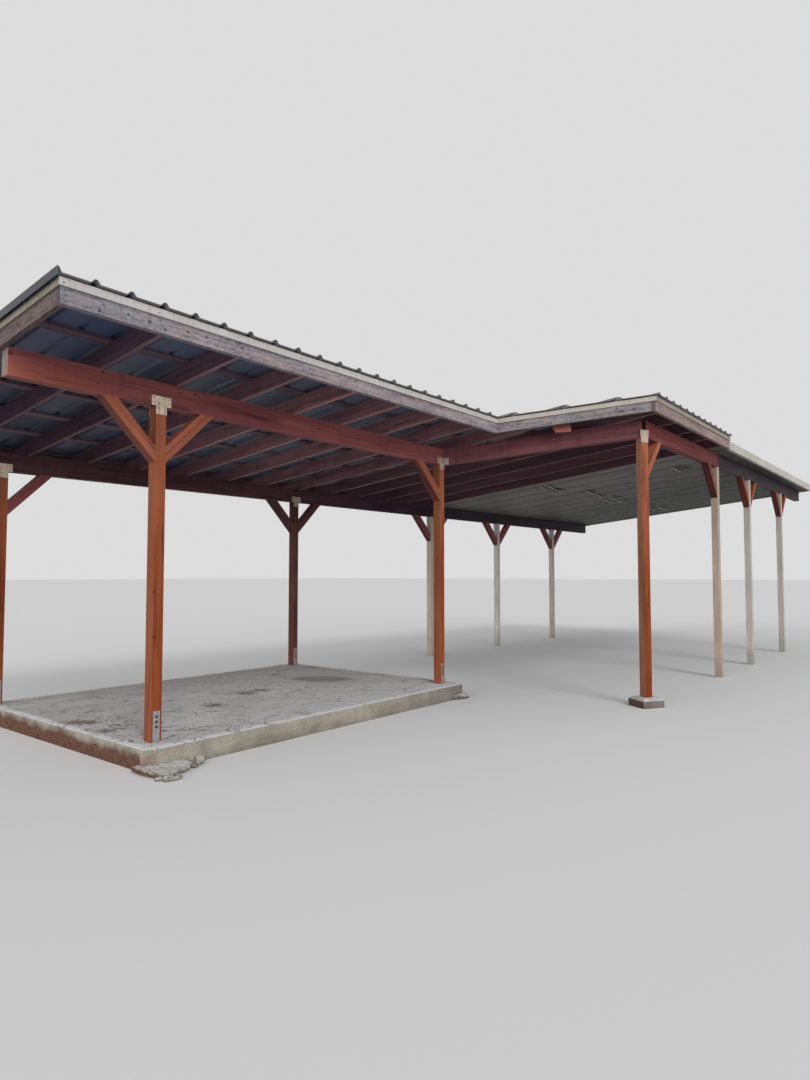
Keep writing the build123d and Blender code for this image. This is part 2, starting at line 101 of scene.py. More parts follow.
def seat(y):
    """Height of the rafters' undersides at a distance across the roof."""
    return FRONT_BEAM_TOP - FALL * (y - FRONT_BEAM_Y)


class Value:
    """A number, vector or colour in a material. Arithmetic on it adds math nodes."""

    def __init__(self, tree, socket):
        self.tree = tree
        self.socket = socket

    def __add__(self, other):
        return self.tree.math("ADD", self, other)

    def __sub__(self, other):
        return self.tree.math("SUBTRACT", self, other)

    def __rsub__(self, other):
        return self.tree.math("SUBTRACT", other, self)

    def __mul__(self, other):
        return self.tree.math("MULTIPLY", self, other)

    def __truediv__(self, other):
        return self.tree.math("DIVIDE", self, other)

    def __abs__(self):
        return self.tree.math("ABSOLUTE", self)

    def span(self, low, high, start=0.0, end=1.0):
        """Maps the value from one span to another and holds it there."""
        return self.tree.add("ShaderNodeMapRange", "Result", self, low, high, start, end)


class Tree:
    """A node tree, with a short call for each kind of node."""

    def __init__(self, owner):
        owner.use_nodes = True
        self.nodes = owner.node_tree.nodes
        self.links = owner.node_tree.links
        self.nodes.clear()

    def feed(self, socket, value):
        """Links a value to the socket, or sets the socket to a plain number or tone."""
        if isinstance(value, Value):
            self.links.new(value.socket, socket)
        elif isinstance(value, tuple) and socket.type == "RGBA":
            socket.default_value = (*value, 1.0)
        else:
            socket.default_value = value

    def new(self, kind, *values, **named):
        """A new node, with values for its first inputs and for the named ones."""
        node = self.nodes.new(kind)
        for socket, value in zip(node.inputs, values):
            self.feed(socket, value)
        for name, value in named.items():
            self.feed(node.inputs[name], value)
        return node

    def add(self, kind, output, *values, **named):
        """One output of a new node."""
        return Value(self, self.new(kind, *values, **named).outputs[output])

    def math(self, operation, *values):
        """A math node."""
        node = self.new("ShaderNodeMath", *values)
        node.operation = operation
        return Value(self, node.outputs["Value"])

    def seen(self):
        """One for what the camera or a reflection sees, and zero for what only lights the scene."""
        path = "ShaderNodeLightPath"
        return self.math("MAXIMUM", self.add(path, "Is Camera Ray"), self.add(path, "Is Glossy Ray"))

    def mix(self, amount, first, second, blend="MIX"):
        """A mix of two tones."""
        node = self.nodes.new("ShaderNodeMix")
        node.data_type = "RGBA"
        node.blend_type = blend
        for socket, value in ((0, amount), (6, first), (7, second)):
            self.feed(node.inputs[socket], value)
        return Value(self, node.outputs[2])


class Look(Tree):
    """The nodes of one material."""

    def __init__(self, name):
        self.material = bpy.data.materials.new(name)
        super().__init__(self.material)
        self.shader = self.new("ShaderNodeBsdfPrincipled")
        self.new("ShaderNodeOutputMaterial", Surface=Value(self, self.shader.outputs["BSDF"]))
        self.place = self.add("ShaderNodeTexCoord", "Object")
        self.normal = self.add("ShaderNodeNewGeometry", "Normal")
        self.xyz = self.split(self.place)
        self.rising = self.split(self.normal)[2]

    def split(self, vector):
        """The three parts of a vector."""
        node = self.new("ShaderNodeSeparateXYZ", vector)
        return tuple(Value(self, part) for part in node.outputs)

    def join(self, x, y, z):
        """A vector from its three parts."""
        return self.add("ShaderNodeCombineXYZ", "Vector", x, y, z)

    def scaled(self, scales, parts):
        """A vector of the parts, or of the place, each times its scale, or all times the same one."""
        if not isinstance(scales, tuple):
            scales = (scales, scales, scales)
        return self.join(*[part * scale for part, scale in zip(parts or self.xyz, scales)])

    def noise(self, scales, parts=None, detail=3.0, roughness=0.5, distortion=0.0):
        """Soft noise from 0 to 1, about one change for each unit of the scaled parts."""
        form = {"Scale": 1.0, "Detail": detail, "Roughness": roughness, "Distortion": distortion}
        return self.add("ShaderNodeTexNoise", "Fac", self.scaled(scales, parts), **form)

    def cells(self, scales, parts=None, output="Distance", feature="F1", flat=False):
        """Cell noise, one cell for each unit of the scaled parts."""
        node = self.new("ShaderNodeTexVoronoi", self.scaled(scales, parts), Scale=1.0)
        node.voronoi_dimensions = "2D" if flat else "3D"
        node.feature = feature
        return Value(self, node.outputs[output])

    def chance(self, number):
        """A value from 0 to 1 that belongs to a whole number."""
        node = self.nodes.new("ShaderNodeTexWhiteNoise")
        node.noise_dimensions = "1D"
        self.feed(node.inputs["W"], number)
        return Value(self, node.outputs["Value"])

    def facing(self, direction):
        """How squarely the surface faces along a direction."""
        node = self.new("ShaderNodeVectorMath", self.normal, direction)
        node.operation = "DOT_PRODUCT"
        return Value(self, node.outputs["Value"])

    def turned(self, vector, turn):
        """The vector in the axes that the turn gives."""
        node = self.new("ShaderNodeMapping", vector, Rotation=turn)
        node.vector_type = "TEXTURE"
        return Value(self, node.outputs["Vector"])

    def spots(self, first, second, places, ragged=0.0):
        """One inside the given round spots, each (first, second, radius), and zero away from them."""
        total = 0.0
        for spot_first, spot_second, radius in places:
            across = first - spot_first
            over = second - spot_second
            away = self.math("SQRT", across * across + over * over) + ragged
            total = self.math("MAXIMUM", total, away.span(radius, radius * 0.7))
        return total

    def coats(self, tone, *coats):
        """The tone with others laid over it in turn, each (amount, tone)."""
        for amount, coat in coats:
            tone = self.mix(amount, tone, coat)
        return tone

    def gain(self, tone, gain, amount=1.0):
        """The tone times a gain, in full or by an amount."""
        return self.mix(amount, tone, gain, "MULTIPLY")

    def finish(self, colour, roughness, height, depth, metallic=0.0, specular=0.5):
        """Joins colour, roughness and relief to the shader and returns the material."""
        inputs = self.shader.inputs
        self.feed(inputs["Base Color"], colour)
        self.feed(inputs["Roughness"], roughness)
        self.feed(inputs["Metallic"], metallic)
        self.feed(inputs["Specular IOR Level"], specular)
        if height is not None:
            relief = self.add("ShaderNodeBump", "Normal", Strength=1.0, Distance=depth, Height=height)
            self.feed(inputs["Normal"], relief)
        return self.material


# Tones of each finish: shade, body and light, or one tone
BEAM_STAIN = ((0.14, 0.038, 0.04), (0.275, 0.075, 0.078), (0.37, 0.128, 0.112))
# Painted light at the front beam's open end
BEAM_END_LIGHT = (0.36, 0.105, 0.062)
BEAM_SLANTED = ((0.075, 0.024, 0.032), (0.18, 0.058, 0.072), (0.27, 0.105, 0.11))
BEAM_RIGHT = ((0.085, 0.016, 0.018), (0.178, 0.034, 0.036), (0.25, 0.074, 0.064))
# Painted shade: the back beam's tones stand in for the shade it is in
BEAM_BACK_SHADE = ((0.034, 0.013, 0.018), (0.09, 0.036, 0.044), (0.16, 0.07, 0.07))
# Painted shade: the older beams are near black for the shade by the house and under the older roof
BEAM_OLD_SHADE = ((0.012, 0.007, 0.012), (0.03, 0.017, 0.027), (0.056, 0.032, 0.04))
RAFTER_STAIN = ((0.075, 0.046, 0.07), (0.168, 0.102, 0.148), (0.26, 0.165, 0.195))
# Painted highlight on the rafters' downward faces
RAFTER_UNDERSIDE_HIGHLIGHT = (0.27, 0.165, 0.17)
BLOCK_STAIN = ((0.2, 0.07, 0.055), (0.48, 0.165, 0.125), (0.62, 0.26, 0.2))
PURLIN_STAIN = ((0.09, 0.062, 0.082), (0.175, 0.118, 0.15), (0.25, 0.17, 0.19))
POST_STAIN = ((0.13, 0.026, 0.006), (0.258, 0.054, 0.014), (0.36, 0.1, 0.036))
POST_OUTER = ((0.118, 0.021, 0.003), (0.23, 0.044, 0.006), (0.32, 0.082, 0.02))
POST_SHADED = ((0.045, 0.015, 0.012), (0.112, 0.037, 0.03), (0.17, 0.062, 0.045))
# Painted light on the posts' sides: the turned post's back-left face, and the left faces of the others
OUTER_POST_SIDE_LIGHT = (0.4, 0.2, 0.13)
POST_SIDE_LIGHT = (0.28, 0.092, 0.044)
# Painted light on the posts' upper parts
POST_TOP_LIGHT = (0.395, 0.13, 0.068)
BRACE_STAIN = ((0.15, 0.038, 0.019), (0.38, 0.112, 0.062), (0.51, 0.19, 0.11))
# Painted shade on the braces' downward faces
UNDERSIDE_SHADE = (0.075, 0.022, 0.026)
BOARD_GREY = ((0.096, 0.074, 0.086), (0.264, 0.232, 0.264), (0.385, 0.35, 0.37))
BOARD_SLANTED = ((0.071, 0.06, 0.066), (0.196, 0.183, 0.195), (0.29, 0.272, 0.278))
BOARD_RIGHT = ((0.11, 0.074, 0.07), (0.285, 0.205, 0.198), (0.4, 0.32, 0.3))
# Painted shade on the gable board's tones
BOARD_GABLE_SHADE = ((0.045, 0.032, 0.032), (0.114, 0.083, 0.081), (0.204, 0.16, 0.152))
BOARD_INSIDE = (0.085, 0.038, 0.042)
WHITE_PAINT = (0.62, 0.585, 0.53)
WHITE_BRIGHT = (0.8, 0.77, 0.71)
WHITE_NEAR = (0.65, 0.59, 0.48)
WHITE_SUNLIT = (0.57, 0.44, 0.35)
TRIM_PAINT = (0.63, 0.615, 0.59)
TRIM_WARM = (0.5, 0.455, 0.4)
TRIM_SHADED = (0.37, 0.31, 0.262)
TRIM_GABLE = (0.36, 0.315, 0.25)
PAINT_DIRT = (0.16, 0.14, 0.115)
BARE_TRIM = (0.3, 0.24, 0.18)
BARE_POST = (0.22, 0.17, 0.13)
BARE_BOARD = (0.2, 0.16, 0.13)

# Tones of the end grain: shade and body
PALE_END = ((0.2, 0.18, 0.17), (0.46, 0.43, 0.41))
# Painted shade: this end grain stands for the shade in the open joint at the front board's end and at the
# right beam's end
SHADED_END = ((0.02, 0.016, 0.016), (0.055, 0.044, 0.042))
BROWN_END = ((0.08, 0.052, 0.04), (0.19, 0.13, 0.1))

# How close the small knots stand, along the timber and around it
KNOT_SPREAD = (2.1, 6.5, 1.0)

# How far one brace of a pair is shifted along the grain, so that the two differ
BRACE_SHIFT = 3.0


def dimmed(tone, *weights):
    """A tone times one weight, or one weight for each of its three parts."""
    return tuple(min(1.0, part * weight) for part, weight in zip(tone, weights * 3))


def inward(part, low, high):
    """How far a part of the place lies inside two limits."""
    return (high - low) / 2 - abs(part - (low + high) / 2)


def grain(look, turn, centres=()):
    """Distances along the fibres and across them. Braces are folded about the posts they stand at."""
    if not centres:
        return look.split(look.turned(look.place, turn))
    x, y, z = look.xyz
    centre = centres[0]
    for before, after in zip(centres, centres[1:]):
        centre = look.math("GREATER_THAN", x, (before + after) / 2) * (after - before) + centre
    away = x - centre
    place = look.join(abs(away), y, z + centre)
    along, across, up = look.split(look.turned(place, turn))
    return look.math("GREATER_THAN", away, 0.0) * BRACE_SHIFT + along, across, up


def strewn_knots(look, along, around, share):
    """Small knots strewn over a share of the cells, and the halos in which the fibres bend round them."""
    parts = (along, around, 0.0)
    knot_along, knot_around = look.split(look.cells(KNOT_SPREAD, parts, output="Position", flat=True))[:2]
    aside = along - knot_along / KNOT_SPREAD[0]
    askew = around - knot_around / KNOT_SPREAD[1]
    aside = aside * aside
    askew = askew * askew
    chosen = look.cells(KNOT_SPREAD, parts, output="Color", flat=True).span(1.0 - share, 1.01 - share)
    knot = look.math("SQRT", aside * 0.6 + askew).span(0.0105, 0.0065)
    halo = look.math("SQRT", aside * 0.1 + askew).span(0.036, 0.008)
    return knot * chosen, halo * chosen


def blotched(look, colour, fibres, tones, amount):
    """Blotches of grey, pink and cream on bare boards."""
    shade, body, light = tones
    blotch = look.noise((26.0, 60.0, 60.0), fibres, detail=4.0, roughness=0.7)
    pink = look.noise((9.0, 24.0, 24.0), fibres)
    return look.coats(
        colour,
        (blotch.span(0.50, 0.66) * amount, light),
        (blotch.span(0.48, 0.34) * amount, shade),
        (pink.span(0.50, 0.72) * (amount * 0.8), dimmed(light, 1.15, 0.86, 0.76)),
    )


def end_light_painted(look, colour, patch, warm):
    """Painted light: the front beam's open end is lighter and warmer than the rest, most of all low down."""
    x, y, z = look.xyz
    end_light = (patch * 0.9 + x).span(GABLE_X + 1.35, GABLE_X + 0.35)
    end_light = end_light * (patch * 0.10 + z).span(FRONT_BEAM_TOP + 0.02, FRONT_BEAM_Z + 0.09)
    return look.mix(end_light * 0.85, colour, warm)


def end_grain(look, colour, turn, rings, tones):
    """The rings that show on the sawn ends."""
    direction = Euler(turn).to_matrix() @ Vector((1.0, 0.0, 0.0))
    end = abs(look.facing(tuple(direction))).span(0.75, 0.85)
    shown = look.math("PINGPONG", rings, 0.5) * 1.4
    return look.mix(end * 0.7, colour, look.mix(shown, *tones))


def wood(
    name, turn, tones, centres=(), pitch=None, knots=(), knotty=0.3, drips=0.3, faded=0.0, mottled=0.0,
    edges=None, end_tone=None, top=None, painted_underside=None, warm_end=None, side=None, weathering=(),
):
    """Sawn timber: ring lines, fibres, knots, drying cracks, drips and worn edges."""
    look = Look(name)
    x, y, z = look.xyz
    shade, body, light = tones
    fibres = along, across, up = grain(look, turn, centres)
    around = across + up
    knot, halo = strewn_knots(look, along, around, knotty)

    # Ring lines that wander along the timber, fibres, long streaks and broad patches
    wander = look.noise((0.9, 4.0, 4.0), fibres, detail=2.0)
    rings = wander * 14.0 + around * 95.0 + halo * 1.6
    ring_line = look.math("PINGPONG", rings, 0.5) * 2.0
    fibre = look.noise((14.0, 520.0, 520.0), fibres, detail=2.0)
    streak = look.noise((1.3, 44.0, 44.0), fibres, detail=4.0, roughness=0.6)
    patch = look.noise((1.1, 6.0, 6.0), fibres)

    # Drying cracks
    crack = abs(look.noise((0.35, 46.0, 46.0), fibres, detail=1.0) - 0.5).span(0.020, 0.006)
    crack = crack * look.noise((2.1, 11.0, 11.0), fibres, detail=0.0).span(0.56, 0.64)

    # Colour of the faces, with drips and dirt that run down
    tone = streak * 0.9 + ring_line * 0.16 + patch * 0.8 + fibre * 0.35
    if pitch:
        number = look.math("FLOOR", (x if turn == ACROSS else y) / pitch)
        tone = tone + look.chance(number) * 0.34 - 0.17
    # The upper part takes the top tone: painted light on the front posts, painted shade on the shaded back
    # post
    if top:
        body = look.mix((patch * 0.8 + z).span(1.9, 3.0), body, top)
    knot_colour = dimmed(shade, 0.42)
    drip = look.noise((26.0, 26.0, 1.6)).span(0.53, 0.74)
    colour = look.coats(
        shade,
        (tone.span(0.68, 1.12), body),
        (tone.span(1.06, 1.60), light),
        (halo * 0.35, shade),
        (knot * 0.85, knot_colour),
        (crack * 0.75, knot_colour),
        (drip * drips, dimmed(shade, 0.6)),
    )
    if faded:
        pale = look.noise((2.2, 18.0, 18.0), fibres, detail=4.0).span(0.46, 0.70)
        colour = look.mix(pale * faded, colour, dimmed(light, 1.35))
    if mottled:
        colour = blotched(look, colour, fibres, tones, mottled)
    if knots:
        marks = look.spots(y if turn == SLANTED else x, z, knots, fibre * 0.024 - 0.009)
        colour = look.mix(marks * 0.8, colour, knot_colour)
    if warm_end:
        colour = end_light_painted(look, colour, patch, warm_end)
    # Downward faces take the underside tone: painted shade under the braces and a painted highlight under the
    # rafters
    if painted_underside:
        down = look.rising.span(-0.35, -0.62)
        colour = look.mix(down * streak.span(0.36, 0.60, 0.35, 0.90), colour, painted_underside)
    # One side takes its own tone: painted light on the posts, and a darker forward face on the back board
    if side:
        direction, side_colour = side
        facing = look.facing(direction).span(0.80, 0.92)
        colour = look.mix(facing * streak.span(0.30, 0.62, 0.35, 0.85), colour, side_colour)
    # Gains along the carport, mostly painted light and shade
    for lean, start_x, full_x, gain in weathering:
        colour = look.gain(colour, gain, (y * lean + x).span(start_x, full_x))

    # Worn and rubbed edges, where the section is known, and end grain
    if edges:
        across_limits, up_limits = edges
        edge_away = look.math("MAXIMUM", inward(across, *across_limits), inward(up, *up_limits))
        worn = (streak * 0.008 + edge_away).span(0.0085, 0.0045)
        colour = look.mix(worn * 0.55, colour, light)
    if not centres:
        colour = end_grain(look, colour, turn, patch * 2.0 + around * 140.0, end_tone or (shade, body))

    height = fibre * 0.28 + ring_line * 0.25 + streak * 0.35 - crack * 1.6 + knot * 0.5
    return look.finish(colour, tone.span(0.6, 1.6, 0.78, 0.62), height, depth=0.0016, specular=0.25)


def paint(name, turn, coat, bare, worn, dirt, splashed=None):
    """Old paint on timber: brush lines, chips down to the bare wood, rain streaks and dirt."""
    look = Look(name)
    fibres = grain(look, turn)
    brush = look.noise((5.0, 210.0, 210.0), fibres, detail=2.0)
    cloud = look.noise(2.4, detail=4.0)
    fleck = look.noise((14.0, 62.0, 62.0), fibres, detail=5.0, roughness=0.65)
    chip = fleck.span(0.70 - 0.12 * worn, 0.72 - 0.12 * worn)
    streak = look.noise((38.0, 38.0, 2.2)).span(0.48, 0.72)
    speck = look.cells(30.0).span(0.10, 0.05)
    colour = look.coats(
        dimmed(coat, 0.84),
        (cloud.span(0.30, 0.70), coat),
        (brush * 0.16, PAINT_DIRT),
        (streak * dirt, PAINT_DIRT),
        (speck * dirt, PAINT_DIRT),
    )
    if splashed:
        splash = (cloud * 0.5 + look.xyz[2]).span(splashed + 0.25, 0.15)
        colour = look.mix(splash * 0.55, colour, PAINT_DIRT)
    colour = look.mix(chip * 0.8, colour, bare)
    height = brush * 0.35 - chip * 0.9 + fleck * 0.4
    return look.finish(colour, cloud.span(0.3, 0.7, 0.62, 0.5), height, depth=0.0008, specular=0.35)


def past_first_post(look):
    """Zero at the first front post and one at the second, between which the straps' tone changes."""
    return look.xyz[0].span(FRONT_POSTS[0] + 1.0, FRONT_POSTS[1] - 1.0)


def painted_strap(name):
    """Cream paint on a steel strap, scuffed through to dull metal and rust."""
    look = Look(name)
    cloud = look.noise(18.0, detail=4.0)
    fleck = look.noise(95.0, detail=4.0, roughness=0.7)
    streak = look.noise((70.0, 70.0, 8.0))
    colour = look.mix(cloud.span(0.35, 0.7), (0.77, 0.62, 0.49), (0.97, 0.82, 0.64))
    # Darker towards the second front post
    colour = look.gain(colour, (0.60, 0.56, 0.56), past_first_post(look))
    colour = look.coats(
        colour,
        (streak.span(0.5, 0.75) * 0.5, (0.17, 0.11, 0.08)),
        (fleck.span(0.60, 0.68) * 0.7, (0.20, 0.13, 0.10)),
    )
    return look.finish(colour, cloud.span(0.3, 0.7, 0.45, 0.65), fleck * 0.6 + cloud, depth=0.0008)


def galvanised(name):
    """Zinc coating with its spangle, dulled and streaked."""
    look = Look(name)
    spangle = look.cells(85.0, output="Color")
    cloud = look.noise(14.0, detail=4.0)
    stain = look.noise((48.0, 48.0, 9.0))
    colour = look.mix(spangle.span(0.2, 0.8), (0.29, 0.30, 0.31), (0.42, 0.43, 0.44))
    # Browner towards the second front post
    colour = look.gain(colour, (1.0, 0.68, 0.56), past_first_post(look))
    colour = look.mix(stain.span(0.5, 0.75) * 0.5, colour, (0.20, 0.17, 0.15))
    return look.finish(colour, cloud.span(0.3, 0.7, 0.38, 0.58), spangle + cloud, depth=0.0004, metallic=0.45)


def dark_steel(name):
    """Weathered screw and nail heads, brown at the rim."""
    look = Look(name)
    cloud = look.noise(160.0)
    colour = look.mix(cloud.span(0.40, 0.62), (0.020, 0.018, 0.018), (0.070, 0.046, 0.036))
    return look.finish(colour, cloud.span(0.3, 0.7, 0.45, 0.7), cloud, depth=0.0003, metallic=0.5)


def strip_metal(name):
    """Bright worn metal of the loose strips, with dull patches."""
    look = Look(name)
    cloud = look.noise(6.0, detail=4.0)
    scratch = look.noise((9.0, 300.0, 300.0), detail=2.0)
    colour = look.mix(cloud.span(0.38, 0.66), (0.330, 0.325, 0.320), (0.560, 0.555, 0.550))
    colour = look.mix(scratch.span(0.5, 0.8) * 0.4, colour, (0.160, 0.155, 0.150))
    return look.finish(colour, cloud.span(0.3, 0.7, 0.40, 0.60), scratch, depth=0.0004, metallic=0.2)


def ribbed_metal(name, eave):
    """Dark grey roofing: dusty and streaked on top, bluish and dull below with painted light and shade, a
    painted highlight where it oversails, and painted shade on its gable edge.
    """
    look = Look(name)
    x, y, z = look.xyz
    dust = look.noise(1.6, detail=5.0, roughness=0.6)
    run = look.noise((26.0, 1.1, 1.1))
    fine = look.noise(120.0, detail=2.0)
    top = look.coats(
        (0.105, 0.105, 0.112),
        (dust.span(0.35, 0.68), (0.185, 0.182, 0.185)),
        (run.span(0.48, 0.74) * 0.45, (0.060, 0.058, 0.058)),
    )
    sheet = look.math("FLOOR", (x - SHEETS_X) / (RIB_PITCH * 4))
    below = look.coats(
        (0.090, 0.116, 0.165),
        (dust.span(0.32, 0.70), (0.150, 0.185, 0.255)),
        (run.span(0.50, 0.72) * 0.35, (0.055, 0.062, 0.082)),
        (look.chance(sheet).span(0.0, 1.0, 0.0, 0.22), (0.080, 0.086, 0.112)),
    )
    # Painted light and shade below: darker near the gable and behind it, lighter further along, and lighter
    # and bluer at the front near the gable
    below = look.gain(below, x.span(-6.4, -4.4, 0.72, 1.30))
    below = look.gain(below, (0.50, 0.50, 0.60), (x * -0.8 + y).span(4.2, 5.6))
    below = look.gain(below, (1.28, 1.48, 1.95), (x * 0.6 + y).span(-3.6, -4.6))
    corner_x, corner_y, turn = eave
    inside = (x - corner_x) * -math.sin(turn) + (y - corner_y) * math.cos(turn)
    # A painted highlight on the underside where the sheet oversails the eave
    below = look.mix(inside.span(0.010, -0.004), below, (0.300, 0.285, 0.290))
    colour = look.mix(look.rising.span(-0.2, 0.2), below, top)
    # Painted shade on the faces that look towards the gable
    colour = look.mix(look.facing(LEFTWARD).span(0.90, 0.97), colour, (0.062, 0.058, 0.066))
    height = fine * 0.2 + dust * 0.8
    return look.finish(colour, dust.span(0.3, 0.7, 0.42, 0.6), height, depth=0.002, metallic=0.15)


# Torn places under the older pans, painted near black for the shade seen through them: place along, place
# across, width. They are longer along the carport.
TEAR_SHARE = 0.22
SHADED_TEAR_GAPS = (
    (1.90, -1.79, 0.075), (1.70, 0.15, 0.050), (2.45, -0.05, 0.060),
    (3.10, 0.02, 0.045), (3.55, -0.08, 0.060), (4.06, -0.03, 0.045),
    (5.90, -0.15, 0.060),
)


def pan_metal(name):
    """Light grey roof pans, mottled below, with dirt and painted shade in the joints, painted highlights on
    their lips, painted shade in the tears and deeper under the roof, and long faint dents.
    """
    look = Look(name)
    x, y, z = look.xyz
    dust = look.noise(1.3, detail=5.0, roughness=0.62)
    mottle = look.noise(9.0, detail=5.0, roughness=0.65)
    run = look.noise((18.0, 0.9, 0.9))
    pan = (x - PANS_X) / PAN_PITCH
    pan_tone = look.chance(look.math("FLOOR", pan))
    from_joint = abs(look.math("FRACT", pan) - 0.5) * PAN_PITCH
    # Dark bands at the joints are dirt and painted shade; the pale lips beside them are a painted highlight
    joint_dirt_and_shade = (mottle * 0.02 + from_joint).span(0.050, 0.030)
    lip_highlight = from_joint.span(0.016, 0.010) * mottle.span(0.35, 0.55)
    # The tears are painted near black for the shade seen through them
    shaded_tears = [(tear_x * TEAR_SHARE, tear_y, width) for tear_x, tear_y, width in SHADED_TEAR_GAPS]
    below = look.coats(
        (0.170, 0.158, 0.148),
        (dust.span(0.32, 0.70), (0.250, 0.238, 0.222)),
        (pan_tone * 0.30, (0.115, 0.106, 0.102)),
        (mottle.span(0.52, 0.72) * 0.35, (0.095, 0.088, 0.084)),
        (joint_dirt_and_shade * 0.85, (0.048, 0.044, 0.044)),
        (lip_highlight * 0.8, (0.400, 0.375, 0.345)),
        (look.spots(x * TEAR_SHARE, y, shaded_tears), (0.012, 0.011, 0.012)),
    )
    # Painted shade, deeper under the roof
    below = look.gain(below, (y * -0.6 + x).span(1.8, 4.8, 1.02, 0.22))
    top = look.coats(
        (0.30, 0.30, 0.29),
        (dust.span(0.35, 0.7), (0.44, 0.44, 0.43)),
        (run.span(0.45, 0.72) * 0.55, (0.13, 0.125, 0.11)),
        (joint_dirt_and_shade * 0.5, (0.10, 0.10, 0.09)),
    )
    colour = look.mix(look.rising.span(-0.2, 0.2), below, top)
    height = mottle * 0.4 + run * 0.9
    return look.finish(colour, mottle.span(0.3, 0.7, 0.45, 0.65), height, depth=0.003, specular=0.12)


# Stains on the slab: place along, place across, radius
SLAB_STAINS = (
    (-4.209, 0.846, 0.12), (-3.990, 0.880, 0.10), (-4.840, 0.530, 0.11),
    (-3.137, 1.651, 0.06), (-6.056, 0.271, 0.07), (-5.970, 0.280, 0.06),
    (-6.049, 0.811, 0.11), (-5.980, 0.700, 0.10),
)

# A painted shadow on the slab, drawn out along a lean line
SHADOW_PATCH = (-3.000, 0.960, 0.30)
SHADOW_LEAN = 0.62

# Thin lines like fine twigs on the slab: how often they turn, and their width
TWIG_LINES = ((1.7, 0.0075), (2.9, 0.0065))


def graded_top(look, top, box, broad, cloud):
    """The slab's top is paler towards its front, darker behind, and has a pale rim."""
    x, y, z = look.xyz
    low, high = box
    paler_front = (broad * 1.1 + y).span(low[1] + 1.5, low[1] + 0.6)
    darker_back = (broad * 0.8 + (x * 0.5 + y)).span(-0.9, 1.2)
    rim = look.math("MINIMUM", inward(x, low[0], high[0]), inward(y, low[1], high[1]))
    rim = (cloud * 0.05 + rim).span(0.110, 0.080)
    return look.coats(
        top,
        (paler_front * 0.60, (0.660, 0.660, 0.665)),
        (darker_back * 0.60, (0.200, 0.180, 0.165)),
        (rim * 0.9, (0.760, 0.770, 0.800)),
    )


def stains_and_shadow(look, top, stains):
    """Ragged brown stains and one grey painted shadow on the slab's top."""
    x, y, z = look.xyz
    shred = look.noise((17.0, 34.0, 1.0), detail=4.0, roughness=0.7)
    ragged = shred * 0.55 - 0.275
    mark_x, mark_y, mark_width = SHADOW_PATCH
    mark = (mark_x + SHADOW_LEAN * mark_y, (mark_y - SHADOW_LEAN * mark_x) * SHADOW_LEAN, mark_width)
    lean_along = y * SHADOW_LEAN + x
    lean_across = (x * -SHADOW_LEAN + y) * SHADOW_LEAN
    return look.coats(
        top,
        (look.spots(x, y, stains, ragged) * 0.8, (0.150, 0.085, 0.062)),
        (look.spots(lean_along, lean_across, [mark], ragged * 0.15) * 0.6, (0.110, 0.105, 0.100)),
    )


def cast_side(look, cloud, pebble_tone):
    """Pebbly cast sides: damp at the foot, with form marks, and soil on the left one."""
    x, y, z = look.xyz
    damp = (cloud * 0.12 + z).span(0.15, 0.055)
    pour = look.noise((3.0, 3.0, 34.0)).span(0.5, 0.7)
    soil = (cloud * 0.16 + z).span(0.228, 0.175) * look.facing(LEFTWARD).span(0.50, 0.95)
    clods = look.noise(46.0, detail=4.0, roughness=0.7)
    earth = look.mix(clods.span(0.36, 0.64), (0.040, 0.014, 0.007), (0.215, 0.085, 0.046))
    side = look.coats(
        (0.320, 0.285, 0.228),
        (cloud.span(0.34, 0.68), (0.500, 0.465, 0.395)),
        (pebble_tone * 0.30, (0.140, 0.120, 0.100)),
        (damp * 0.5, (0.120, 0.100, 0.080)),
        (pour * 0.25, (0.48, 0.45, 0.39)),
        (soil * 0.92, earth),
    )
    return look.gain(side, (0.58, 0.58, 0.60), x.span(-3.7, -2.4))


